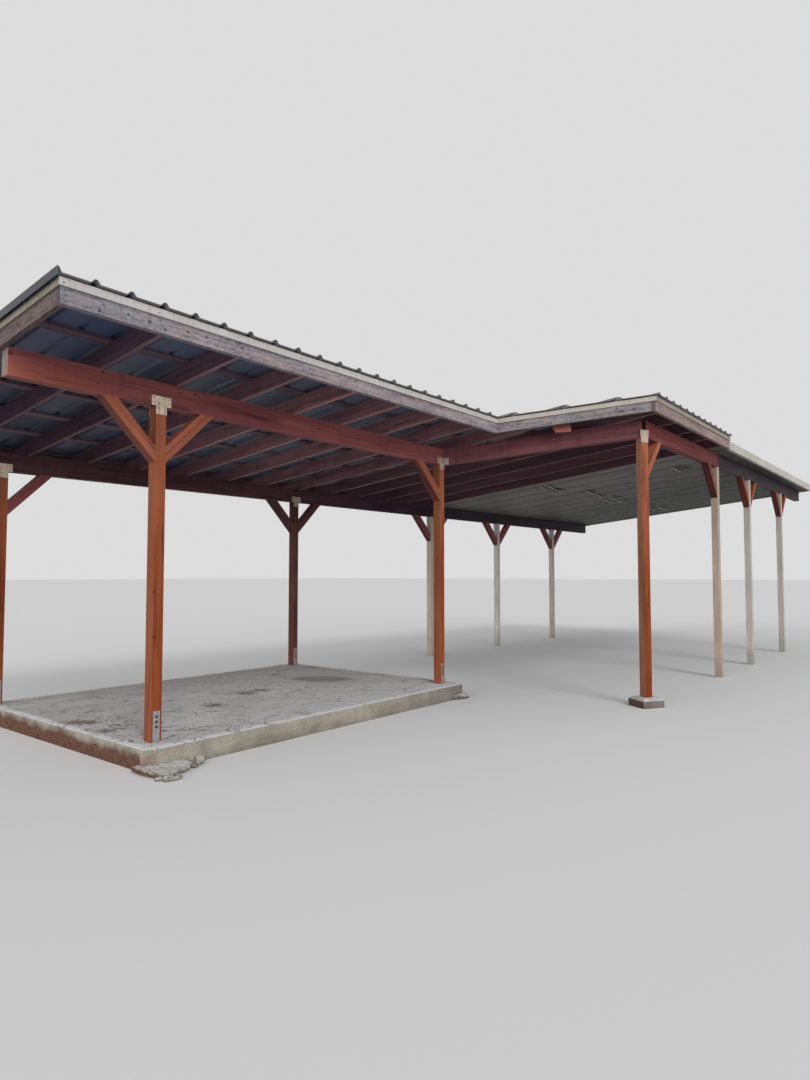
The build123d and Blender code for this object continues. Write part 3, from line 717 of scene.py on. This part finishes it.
def concrete(name, box=None, stains=()):
    """Cast concrete: a trowelled, cracked top with litter and twig-like lines, and pebbly sides."""
    look = Look(name)
    x, y, z = look.xyz
    broad = look.noise(0.9, detail=5.0, roughness=0.6)
    cloud = look.noise(4.5, detail=6.0, roughness=0.62)
    sand = look.noise(260.0, detail=2.0)
    pebble = look.cells(75.0)
    pebble_tone = look.cells(75.0, output="Color")
    speck = look.cells(24.0).span(0.115, 0.06)
    trowel = look.noise((9.0, 1.5, 1.0), detail=4.0).span(0.5, 0.72)
    top = look.coats(
        (0.450, 0.434, 0.420),
        (broad.span(0.34, 0.66), (0.630, 0.626, 0.622)),
        (cloud.span(0.50, 0.74) * 0.6, (0.300, 0.268, 0.240)),
        (trowel * 0.25, (0.58, 0.58, 0.59)),
    )
    if box:
        top = graded_top(look, top, box, broad, cloud)

    # Fine cracks, litter and grit
    bend = look.noise(3.1)
    bent = (bend * 0.9 + x, bend * -0.7 + y, 0.0)
    crack = look.cells((1.5, 1.5, 1.0), bent, feature="DISTANCE_TO_EDGE", flat=True).span(0.0140, 0.0060)
    crack = crack * broad.span(0.38, 0.52)
    litter = look.noise(60.0, roughness=0.7).span(0.60, 0.64)
    litter = litter * broad.span(0.40, 0.56, 0.10, 1.0)
    grit_scale = (16.0, 16.0, 1.0)
    grit = look.cells(grit_scale, flat=True).span(0.200, 0.130)
    grit = grit * look.cells(grit_scale, output="Color", flat=True).span(0.72, 0.74)
    top = look.coats(
        top,
        (speck * 0.75, (0.080, 0.062, 0.050)),
        (crack * 0.8, (0.085, 0.072, 0.062)),
        (litter * 0.8, (0.110, 0.088, 0.072)),
        (grit * 0.85, (0.060, 0.048, 0.040)),
    )
    near_left = (broad * 1.4 + (y * 0.8 + x)).span(-3.7, -4.9)
    for scale, width in TWIG_LINES:
        wander = look.noise((scale, scale, 1.0), (x, y, 0.0), detail=1.5, distortion=0.6)
        line = abs(wander - 0.5).span(width, width * 0.45)
        top = look.mix(line * near_left * 0.8, top, (0.120, 0.090, 0.072))
    if stains:
        top = stains_and_shadow(look, top, stains)

    level = look.rising.span(0.55, 0.85)
    colour = look.mix(level, cast_side(look, cloud, pebble_tone), top)
    height = pebble * (1.0 - level) * 1.6 + cloud * 0.9 + sand * 0.25 - crack
    return look.finish(colour, cloud.span(0.3, 0.7, 0.82, 0.92), height, depth=0.004, specular=0.3)


def section(node, turn):
    """Extent of a straight timber across its fibres, in the turned axes."""
    back = Euler(turn).to_matrix().inverted()
    places = [back @ vertex.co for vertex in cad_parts[node].data.vertices]
    across = [place.y for place in places]
    up = [place.z for place in places]
    return (min(across), max(across)), (min(up), max(up))


def dress(node, material):
    """Gives a frame node its material."""
    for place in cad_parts[node].material_slots:
        place.material = material


# Knots seen on the front board, the slanted board and the front beam: distance along it, height, radius
FRONT_BOARD_KNOTS = (
    (-6.928, 2.979, 0.016), (-6.743, 3.005, 0.013), (-6.600, 3.006, 0.018),
    (-6.491, 2.983, 0.016), (-6.320, 3.015, 0.016), (-6.176, 3.015, 0.014),
    (-6.007, 3.045, 0.014), (-5.877, 3.018, 0.017),
)
SLANTED_BOARD_KNOTS = (
    (-1.530, 3.028, 0.011), (-1.337, 3.049, 0.009), (-1.569, 3.058, 0.009),
    (-1.966, 3.078, 0.017), (-2.334, 3.120, 0.019), (-2.442, 3.134, 0.020),
)
FRONT_BEAM_KNOTS = (
    (-7.111, 2.832, 0.023), (-6.489, 2.849, 0.016), (-6.524, 2.762, 0.016),
    (-5.880, 2.853, 0.013), (-5.862, 2.825, 0.016), (-5.726, 2.836, 0.017),
)

# How the tone changes along the carport, mostly as painted light and shade: lean across it, from, to, and the
# tone's gain there
# Painted light and shade on the rafters: lighter away from the gable, darker towards the corner and behind
# near the gable
RAFTER_PAINTED_LIGHT = (
    (0.0, -6.4, -4.6, (2.05, 1.70, 1.38)),
    (0.0, -3.0, -0.4, (0.50, 0.50, 0.56)),
    (-1.25, -5.25, -7.00, (0.60, 0.54, 0.60)),
)
# Painted shade on the back beam, darker towards its right
BACK_BEAM_PAINTED_SHADE = (
    (0.0, -3.0, -0.5, (0.58, 0.56, 0.88)),
    (0.0, -0.5, 1.0, (0.60, 0.60, 0.72)),
)
# The front board is a little darker towards the gable end
BOARD_GABLE_END_GAIN = ((0.0, -6.30, -6.90, (0.82, 0.89, 0.92)),)
# Painted shade on the back braces towards their right
BACK_BRACE_PAINTED_SHADE = ((0.0, -5.0, -3.4, (0.42, 0.48, 0.55)),)
# Painted shade on the brace at the first older post
RIGHT_BRACE_PAINTED_SHADE = ((0.0, -0.4, 0.4, (0.55, 0.48, 0.62)),)

# What each kind of timber shows besides its grain
BEAM = {"end_tone": PALE_END}
# The posts' left faces take painted light
POST = {"drips": 0.45, "top": POST_TOP_LIGHT, "side": (LEFTWARD, POST_SIDE_LIGHT)}
BOARD = {"knotty": 0.6, "faded": 0.4, "mottled": 0.8, "end_tone": SHADED_END}
# The turned post's back-left face takes painted light
OUTER_POST_LIT_SIDE = ((-0.836, 0.548, 0.0), OUTER_POST_SIDE_LIGHT)

# Straight timber: node, turn, tones, and what it shows
timber = (
    ("front_beam", ALONG, BEAM_STAIN, BEAM | {"knots": FRONT_BEAM_KNOTS, "warm_end": BEAM_END_LIGHT}),
    ("corner_beam", SLANTED_BEAM, BEAM_SLANTED, BEAM),
    ("right_beam", ALONG, BEAM_RIGHT, {"end_tone": SHADED_END}),
    ("right_beam_old", ALONG, BEAM_OLD_SHADE, BEAM),
    ("back_beam", ALONG, BEAM_BACK_SHADE, BEAM | {"weathering": BACK_BEAM_PAINTED_SHADE}),
    ("back_beam_old", ALONG, BEAM_OLD_SHADE, BEAM),
    ("post_front_left", UPRIGHT, POST_STAIN, POST),
    ("post_front_corner", UPRIGHT, POST_STAIN, POST),
    ("post_outer_corner", UPRIGHT_TURNED, POST_OUTER, POST | {"side": OUTER_POST_LIT_SIDE}),
    ("post_back_left", UPRIGHT, POST_STAIN, POST),
    ("post_back_corner", UPRIGHT, POST_SHADED, {"drips": 0.45, "top": POST_SHADED[0]}),
    ("fascia_gable", ACROSS, BOARD_GABLE_SHADE, BOARD),
    ("fascia_front", ALONG, BOARD_GREY, BOARD | {"knots": FRONT_BOARD_KNOTS, "weathering": BOARD_GABLE_END_GAIN}),
    ("fascia_corner", SLANTED, BOARD_SLANTED, BOARD | {"knots": SLANTED_BOARD_KNOTS, "end_tone": BROWN_END}),
    ("fascia_right", ALONG, BOARD_RIGHT, BOARD),
    ("fascia_back", ALONG, BOARD_GREY, BOARD | {"side": (FORWARD, BOARD_INSIDE)}),
)
for node, turn, tones, shown in timber:
    dress(node, wood("wood_" + node, turn, tones, edges=section(node, turn), **shown))

# Braces, with the posts they stand at
braces = (
    ("braces_front", FRONT_POSTS, BRACE_STAIN, ()),
    ("braces_right", OUTER_POST + OLD_RIGHT_POSTS[:1], BRACE_STAIN, RIGHT_BRACE_PAINTED_SHADE),
    ("braces_back", BACK_POSTS, BEAM_STAIN, BACK_BRACE_PAINTED_SHADE),
    ("braces_back_old", OLD_BACK_POSTS, BEAM_STAIN, ()),
    ("braces_right_old", OLD_RIGHT_POSTS[1:], POST_STAIN, ()),
)
BRACE = {"drips": 0.2, "painted_underside": UNDERSIDE_SHADE}
for node, centres, tones, weathering in braces:
    dress(node, wood("wood_" + node, BRACED, tones, centres=centres, weathering=weathering, **BRACE))

# Rafters and purlins
RAFTER = {"pitch": RAFTER_PITCH, "painted_underside": RAFTER_UNDERSIDE_HIGHLIGHT, "weathering": RAFTER_PAINTED_LIGHT}
for node in ("rafters_left", "rafters_right"):
    dress(node, wood("wood_" + node, ACROSS, RAFTER_STAIN, **RAFTER))
dress("purlins", wood("wood_purlins", ALONG, PURLIN_STAIN, pitch=PURLIN_PITCH))

# Painted timber: node, turn, coat, the bare wood, how worn it is, and how dirty
TRIM = (BARE_TRIM, 0.1)
OLD_BOARD = (WHITE_PAINT, BARE_BOARD, 0.5, 0.5)
painted = (
    ("trim_gable", ACROSS, TRIM_GABLE, *TRIM, 0.6),
    ("trim_front", ALONG, TRIM_PAINT, *TRIM, 0.25),
    ("trim_corner", SLANTED, TRIM_WARM, *TRIM, 0.25),
    ("trim_right", ALONG, TRIM_SHADED, *TRIM, 0.35),
    ("trim_back", ALONG, TRIM_WARM, *TRIM, 0.35),
    ("old_board_front", ALONG, *OLD_BOARD),
    ("old_board_end", ACROSS, *OLD_BOARD),
    ("old_board_back", ALONG, *OLD_BOARD),
)
for node, *coating in painted:
    dress(node, paint("paint_" + node, *coating))
# The white posts share one paint; their coats differ to paint the light on each, with warm sunlight on the
# near right post
white_posts = (
    ("post_back_near", WHITE_NEAR),
    ("post_back_middle", WHITE_BRIGHT),
    ("post_back_far", WHITE_PAINT),
    ("post_right_near", WHITE_SUNLIT),
    ("post_right_middle", WHITE_PAINT),
    ("post_right_far", WHITE_PAINT),
)
for node, coat in white_posts:
    dress(node, paint("paint_" + node, UPRIGHT, coat, BARE_POST, 0.45, 0.4, splashed=0.35))

# Metal and concrete
strap_paint = painted_strap("painted_strap")
for node in ("straps_front", "straps_back", "strap_outer_corner"):
    dress(node, strap_paint)
zinc = galvanised("zinc")
steel = dark_steel("dark_steel")
dress("post_base_straps", zinc)
inner_corner = (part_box("fascia_corner")[0][0], FRONT_EAVE_Y)
roofs = (
    ("roof_sheet_left", (*inner_corner, 0.0)),
    ("roof_sheet_corner", (*inner_corner, SLANT_TURN)),
    ("roof_sheet_right", (STEP_X, RIGHT_EAVE_Y, 0.0)),
)
for node, eave in roofs:
    dress(node, ribbed_metal("roofing_" + node, eave))
dress("roof_pans_old", pan_metal("pans"))
dress("slab", concrete("cast_slab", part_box("slab"), SLAB_STAINS))
dress("footing_outer_corner", concrete("cast_footing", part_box("footing_outer_corner")))


def make_piece(name, vertices, faces, material):
    """A mesh piece that rides on the frame."""
    mesh = bpy.data.meshes.new(name)
    mesh.from_pydata([tuple(vertex) for vertex in vertices], [], faces)
    mesh.validate()
    mesh.materials.append(material)
    piece = bpy.data.objects.new(name, mesh)
    bpy.context.scene.collection.objects.link(piece)
    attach(piece, "root")


def rings_of_faces(start, count, sides, closed=True):
    """Faces between rings of points that follow one another, and the two that close their ends."""
    faces = []
    last = start + (count - 1) * sides
    for first in range(start, last, sides):
        for number in range(sides):
            after = (number + 1) % sides
            faces.append((first + number, first + after, first + sides + after, first + sides + number))
    if closed:
        faces += [tuple(reversed(range(start, start + sides))), tuple(range(last, last + sides))]
    return faces


def flipped(faces):
    """The faces turned to look the other way."""
    return [(face[0], *reversed(face[1:])) for face in faces]


# Forms of the heads, as (radius, height) rings
NAIL = ((0.0045, -0.001), (0.0045, 0.0008), (0.0036, 0.0016), (0.0015, 0.0020))
WASHER = ((0.0110, -0.001), (0.0110, 0.0010), (0.0095, 0.0016))
HEX = ((0.0062, 0.0), (0.0062, 0.0048), (0.0050, 0.0058))
BOLT_WASHER = ((0.0105, -0.001), (0.0105, 0.0014), (0.0095, 0.0020))
BOLT_HEX = ((0.0075, 0.0), (0.0075, 0.0056), (0.0062, 0.0068))


class Heads:
    """Many small turned or six-sided heads, gathered into one mesh."""

    def __init__(self):
        self.vertices = []
        self.faces = []

    def add(self, place, direction, rings, sides):
        """Adds one head: rings of (radius, height) about a direction."""
        base = Vector(direction).to_track_quat("Z", "Y").to_matrix()
        spin = random.uniform(0.0, math.tau)
        start = len(self.vertices)
        for radius, height in rings:
            for number in range(sides):
                angle = spin + math.tau * number / sides
                point = Vector((radius * math.cos(angle), radius * math.sin(angle), height))
                self.vertices.append(Vector(place) + base @ point)
        self.faces += rings_of_faces(start, len(rings), sides)


# Roofing screws beside the ribs, over each purlin
SCREW_BESIDE_RIB = 0.050
SCREW_FROM_EDGE = 0.02
HEAD_WOBBLE = 0.006
WASHER_TOP = 0.001
purlin_rows = [RIGHT_EAVE_Y, BACK_EAVE_Y - PURLIN_WIDTH]
purlin_rows += [FRONT_EAVE_Y + number * PURLIN_PITCH for number in range(-2, 6)]
screws = Heads()
for number in range(int((STEP_X - SHEETS_X) / RIB_PITCH) + 1):
    x = SHEETS_X + number * RIB_PITCH + SCREW_BESIDE_RIB
    if x > STEP_X - SCREW_FROM_EDGE:
        continue
    slanted_edge = FRONT_EAVE_Y - (x - FRONT_EAVE_END_X) * math.tan(-SLANT_TURN)
    front_edge = max(RIGHT_EAVE_Y, min(FRONT_EAVE_Y, slanted_edge))
    for row in purlin_rows:
        y = row + PURLIN_WIDTH / 2 + random.uniform(-HEAD_WOBBLE, HEAD_WOBBLE)
        if y < front_edge + SCREW_FROM_EDGE:
            continue
        z = seat(y) + SHEET_OVER_SEAT
        screws.add((x, y, z), ROOF_NORMAL, WASHER, 12)
        screws.add((x, y, z + WASHER_TOP), ROOF_NORMAL, HEX, 6)
make_piece("roof_screws", screws.vertices, screws.faces, zinc)

# Nails in the straps at the beams: place beside the post's middle, and height over the beam's underside
BAR_NAILS = (
    (-0.062, 0.022), (-0.062, 0.058), (-0.020, 0.022),
    (0.020, 0.058), (0.062, 0.022), (0.062, 0.058),
)
STEM_NAILS = ((-0.028, -0.018), (0.026, -0.026), (-0.024, -0.048), (0.029, -0.050))
MITRE_FROM_MIDDLE = 0.05
strapped = [(centre, FRONT_BEAM_Y, FRONT_BEAM_Z) for centre in FRONT_POSTS]
strapped += [(centre, BACK_BEAM_Y, BACK_BEAM_Z) for centre in BACK_POSTS]
nails = Heads()
for centre, y, z in strapped:
    at_mitre = centre == FRONT_POSTS[1]
    for along, rise in BAR_NAILS + STEM_NAILS:
        if at_mitre and rise > 0 and along > MITRE_FROM_MIDDLE:
            continue
        nails.add((centre + along, y - STRAP, z + rise), FORWARD, NAIL, 10)
        if not at_mitre:
            nails.add((centre + along, y + TIMBER + STRAP, z + rise), BACKWARD, NAIL, 10)
make_piece("strap_nails", nails.vertices, nails.faces, steel)

# Bolts in the straps at the slab
BOLT_HEIGHTS = (0.112, 0.150, 0.188)
BOLT_WASHER_TOP = 0.002
bolts = Heads()
for centre, post_y, unused_z in strapped:
    for y, way in ((post_y - STRAP, FORWARD), (post_y + TIMBER + STRAP, BACKWARD)):
        for rise in BOLT_HEIGHTS:
            bolts.add((centre, y, SLAB_TOP + rise), way, BOLT_WASHER, 14)
            bolts.add((centre, y + way[1] * BOLT_WASHER_TOP, SLAB_TOP + rise), way, BOLT_HEX, 6)
make_piece("base_bolts", bolts.vertices, bolts.faces, steel)

# Nails that hold the boards and trims: node, and the heights of each pair over its lower edge
NAILED = (
    ("fascia_front", (0.025, 0.085)),
    ("fascia_right", (0.025, 0.085)),
    ("trim_front", (0.022,)),
    ("trim_right", (0.022,)),
)
FIRST_NAIL = 0.030
RISE_WOBBLE = 0.004
board_nails = Heads()
for node, heights in NAILED:
    (near_x, face_y, low_z), (far_x, unused_y, unused_z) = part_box(node)
    for number in range(int((far_x - near_x) / RAFTER_PITCH) + 1):
        x = near_x + FIRST_NAIL + number * RAFTER_PITCH
        for rise in heights:
            nail_x = x + random.uniform(-HEAD_WOBBLE, HEAD_WOBBLE)
            nail_z = low_z + rise + random.uniform(-RISE_WOBBLE, RISE_WOBBLE)
            board_nails.add((nail_x, face_y, nail_z), FORWARD, NAIL, 10)
make_piece("board_nails", board_nails.vertices, board_nails.faces, steel)


def along_line(points, x):
    """The second part of a line of points at a distance along it."""
    for (before_x, before), (after_x, after) in zip(points, points[1:]):
        if x <= after_x:
            return before + (after - before) * (x - before_x) / (after_x - before_x)
    return points[-1][1]


def from_corner(corner_x, offsets):
    """Places given from a front corner of the slab."""
    return [(corner_x + along, SLAB_FRONT + across, *size) for along, across, *size in offsets]


def rough(x, y, often, seed):
    """Smooth noise from -1 to 1 over the ground, which changes so often in each metre."""
    return noise.noise(Vector((x * often, y * often, seed)))


# How the broken concrete is ragged at its edge, falls to it, and is lumpy on top, in metres
RAGGED = 0.045
LUMPY = 0.012
GRAINY = 0.007
UNDER_LUMPY = 0.003
THINNEST = 0.004
FALL_TO_EDGE = 0.45


def broken_plate(name, corner_x, inner, outer, heights, steps, material):
    """A thin broken plate of concrete between two lines, ragged at its outer edge and lumpy on top."""
    inner = from_corner(corner_x, inner)
    outer = from_corner(corner_x, outer)
    low, high = heights
    columns = 8
    vertices = []
    first_x, last_x = outer[0][0], outer[-1][0]
    for number in range(steps + 1):
        x = first_x + (last_x - first_x) * number / steps
        near = along_line(inner, x)
        far = along_line(outer, x) + RAGGED * rough(x, 0.0, 23.0, 4.0)
        top = []
        foot = []
        for column in range(columns + 1):
            share = column / columns
            y = near + (far - near) * share
            lump = rough(x, y, 24.0, 9.0)
            crest = high - (high - low) * FALL_TO_EDGE * share ** 2
            crest += LUMPY * lump + GRAINY * rough(x, y, 70.0, 2.0)
            top.append((x, y, max(low + THINNEST, crest)))
            foot.append((x, y, low + UNDER_LUMPY * lump))
        vertices += top + foot[::-1]
    faces = rings_of_faces(0, steps + 1, 2 * (columns + 1))
    make_piece(name, vertices, faces, material)


def rubble(name, places, material):
    """Broken lumps of concrete: place along, place across, size."""
    vertices = []
    faces = []
    rings = 8
    sides = 12
    for number, (x, y, size) in enumerate(places):
        faces += rings_of_faces(len(vertices), rings, sides, closed=False)
        for ring in range(rings):
            tilt = math.pi * ring / (rings - 1)
            for side in range(sides):
                angle = math.tau * side / sides
                wide = math.sin(tilt)
                way = Vector((wide * math.cos(angle), wide * math.sin(angle), math.cos(tilt)))
                reach = size * (1.0 + 0.45 * noise.noise(way * 1.7 + Vector((number * 5.0, 0.0, 0.0))))
                point = Vector((x, y, size * 0.45)) + Vector((way.x * 1.25, way.y, way.z * 0.62)) * reach
                vertices.append((point.x, point.y, max(0.001, point.z)))
    make_piece(name, vertices, flipped(faces), material)


# The slab's broken foot at its left corner and its ragged right end, as places along and across
# from each corner. The inner lines run just inside the slab's faces.
CORNER_CUT = 0.080
LIP_INNER = ((-0.10, 0.125), (CORNER_CUT, 0.010), (0.60, 0.010))
LIP_OUTER = (
    (-0.055, -0.030), (-0.040, -0.150), (-0.008, -0.235),
    (0.050, -0.235), (0.118, -0.205), (0.217, -0.170),
    (0.330, -0.130), (0.430, -0.080), (0.500, -0.010),
)
LUMPS = (
    (-0.030, -0.215, 0.026), (0.010, -0.270, 0.034),
    (0.060, -0.285, 0.028), (0.100, -0.255, 0.020),
)
SPILL_INNER = ((-0.30, 0.010), (-CORNER_CUT, 0.010), (0.10, 0.19))
SPILL_OUTER = ((-0.260, -0.005), (-0.180, -0.040), (-0.080, -0.060), (0.010, -0.030), (0.070, 0.080))
broken = concrete("cast_broken")
broken_plate("slab_lip", SLAB_LEFT, LIP_INNER, LIP_OUTER, (0.014, 0.046), 150, broken)
rubble("slab_rubble", from_corner(SLAB_LEFT, LUMPS), broken)
broken_plate("slab_spill", SLAB_RIGHT, SPILL_INNER, SPILL_OUTER, (0.004, 0.050), 90, broken)

# Loose bent strips that hang under the older pans: ends as place along, place across, and how far they sag
STRIPS = (
    (1.64, -1.69, 2.24, -1.66, 0.018),
    (0.93, 0.07, 2.10, 0.27, 0.010),
    (1.05, 0.20, 2.00, 0.36, 0.006),
    (2.30, -0.02, 3.43, 0.12, 0.012),
    (3.45, 0.04, 4.52, 0.15, 0.014),
    (3.60, 0.20, 4.30, 0.26, 0.006),
    (5.72, -0.04, 6.65, 0.07, 0.014),
    (5.60, 0.14, 6.30, 0.22, 0.008),
)
STRIP_HALF = 0.011
STRIP_THICKNESS = 0.0012
STRIP_GAP = 0.001
STRIP_STEPS = 48
STRIP_SWAY = 0.010
STRIP_FOLD = 0.010
FOLD_UNEVEN = 0.006


def pan_underside(y):
    """Height of the older pans' underside at a distance across the roof."""
    places = [vertex.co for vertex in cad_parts["roof_pans_old"].data.vertices]
    return min(place.z + FALL * (place.y - y) for place in places)


def bent_strips(name, strips, material):
    """Thin metal strips with a folded edge, sagging between their ends."""
    vertices = []
    faces = []
    for number, (start_x, start_y, end_x, end_y, sag) in enumerate(strips):
        begin = len(vertices)
        for step in range(STRIP_STEPS + 1):
            share = step / STRIP_STEPS
            x = start_x + (end_x - start_x) * share
            y = start_y + (end_y - start_y) * share
            wave = noise.noise(Vector((share * 7.0, number * 3.0, 0.0)))
            z = pan_underside(y) - STRIP_GAP - sag * math.sin(math.pi * share) * (0.7 + 0.6 * wave)
            y += STRIP_SWAY * wave
            fold = STRIP_FOLD + FOLD_UNEVEN * wave
            outline = (
                (-STRIP_HALF, 0.0),
                (STRIP_HALF, 0.0),
                (STRIP_HALF, fold),
                (STRIP_HALF - STRIP_THICKNESS, fold),
                (STRIP_HALF - STRIP_THICKNESS, STRIP_THICKNESS),
                (-STRIP_HALF, STRIP_THICKNESS),
            )
            vertices += [(x, y + across, z + rise - fold) for across, rise in outline]
        faces += rings_of_faces(begin, STRIP_STEPS + 1, len(outline))
    make_piece(name, vertices, faces, material)


bent_strips("loose_strips", STRIPS, strip_metal("strip_metal"))

# A short block nailed up under a purlin, inside the slanted board
BLOCK_START = Vector((-2.051, -1.615))
BLOCK_END = Vector((-1.965, -1.797))
BLOCK_LENGTH = 0.202
BLOCK_THICKNESS = 0.038
BLOCK_TOP = 0.1405
BLOCK_BEVEL = 0.0015

# Its outline: place along it, and height over the rafters' undersides
BLOCK_OUTLINE = (
    (0.000, 0.024), (0.030, -0.040), (0.036, -0.047),
    (0.199, -0.061), (BLOCK_LENGTH, -0.058), (BLOCK_LENGTH, BLOCK_TOP),
    (0.000, BLOCK_TOP),
)


def corner_block(name, material):
    """The block, with its long edges bevelled."""
    along = (BLOCK_END - BLOCK_START).normalized()
    inward_way = Vector((-along.y, along.x))
    vertices = []
    layers = (0.0, BLOCK_BEVEL, BLOCK_THICKNESS - BLOCK_BEVEL, BLOCK_THICKNESS)
    for depth, inset in zip(layers, (BLOCK_BEVEL, 0.0, 0.0, BLOCK_BEVEL)):
        for run, rise in BLOCK_OUTLINE:
            run = min(max(run, inset), BLOCK_LENGTH - inset)
            place = BLOCK_START + along * run + inward_way * depth
            lift = inset if rise < BLOCK_TOP else 0.0
            vertices.append((place.x, place.y, seat(place.y) + rise + lift))
    faces = rings_of_faces(0, len(layers), len(BLOCK_OUTLINE))
    make_piece(name, vertices, flipped(faces), material)


corner_block("corner_block", wood("wood_corner_block", SLANTED, BLOCK_STAIN, drips=0.1))

# Floor, light and camera
STAGE_HALF = 200.0
FLOOR_SEEN = (0.80, 0.80, 0.80)
FLOOR_BOUNCE = (0.46, 0.46, 0.46)
SKY_SEEN = 0.90
SKY_LIGHT = 0.54

# Soft lamps: name, strength, width in degrees, and where the light comes from
LAMPS = (
    ("high_lamp", 0.9, 22.0, (-0.45, -1.0, 0.85)),
    ("low_lamp", 1.25, 30.0, (-0.55, -1.0, 0.20)),
    ("side_lamp", 0.9, 40.0, (-1.0, 0.10, 0.35)),
)

# The camera's place is measured from the gable board, the front beam and the slab
CAMERA_FROM_GABLE = 1.8397
CAMERA_FROM_BEAM = 4.7884
CAMERA_OVER_SLAB = 1.246
CAMERA_TILT = math.radians(92.81)
CAMERA_TURN = math.radians(-51.12)
CAMERA_LENS = 23.53


def floor_material():
    """A plain pale floor that throws only a little light back up."""
    look = Look("stage_floor")
    return look.finish(look.mix(look.seen(), FLOOR_BOUNCE, FLOOR_SEEN), 0.9, None, 0.0, specular=0.0)


def lay_floor():
    """The floor that the carport stands on."""
    mesh = bpy.data.meshes.new("stage_floor")
    corners = [(x * STAGE_HALF, y * STAGE_HALF, 0.0) for x, y in ((-1, -1), (1, -1), (1, 1), (-1, 1))]
    mesh.from_pydata(corners, [], [(0, 1, 2, 3)])
    mesh.materials.append(floor_material())
    floor = bpy.data.objects.new("stage_floor", mesh)
    bpy.context.scene.collection.objects.link(floor)


def light_studio():
    """Soft light from all round, and lamps."""
    world = bpy.data.worlds.new("studio")
    bpy.context.scene.world = world
    tree = Tree(world)
    strength = tree.seen().span(0.0, 1.0, SKY_LIGHT, SKY_SEEN)
    background = tree.add("ShaderNodeBackground", "Background", Strength=strength)
    tree.new("ShaderNodeOutputWorld", Surface=background)
    for name, strength, width, light_from in LAMPS:
        lamp = bpy.data.lights.new(name, "SUN")
        lamp.energy = strength
        lamp.angle = math.radians(width)
        lamp_object = bpy.data.objects.new(name, lamp)
        lamp_object.rotation_euler = Vector(light_from).to_track_quat("Z", "Y").to_euler()
        bpy.context.scene.collection.objects.link(lamp_object)


lay_floor()
light_studio()
camera = bpy.data.cameras.new("camera")
camera.sensor_width = 36.0
camera.lens = CAMERA_LENS
camera.clip_end = 500.0
camera_object = bpy.data.objects.new("camera", camera)
camera_object.location = (
    GABLE_X - CAMERA_FROM_GABLE,
    FRONT_BEAM_Y - CAMERA_FROM_BEAM,
    SLAB_TOP + CAMERA_OVER_SLAB,
)
camera_object.rotation_euler = (CAMERA_TILT, 0.0, CAMERA_TURN)
bpy.context.scene.collection.objects.link(camera_object)
bpy.context.scene.camera = camera_object
bpy.context.scene.view_settings.view_transform = "Standard"
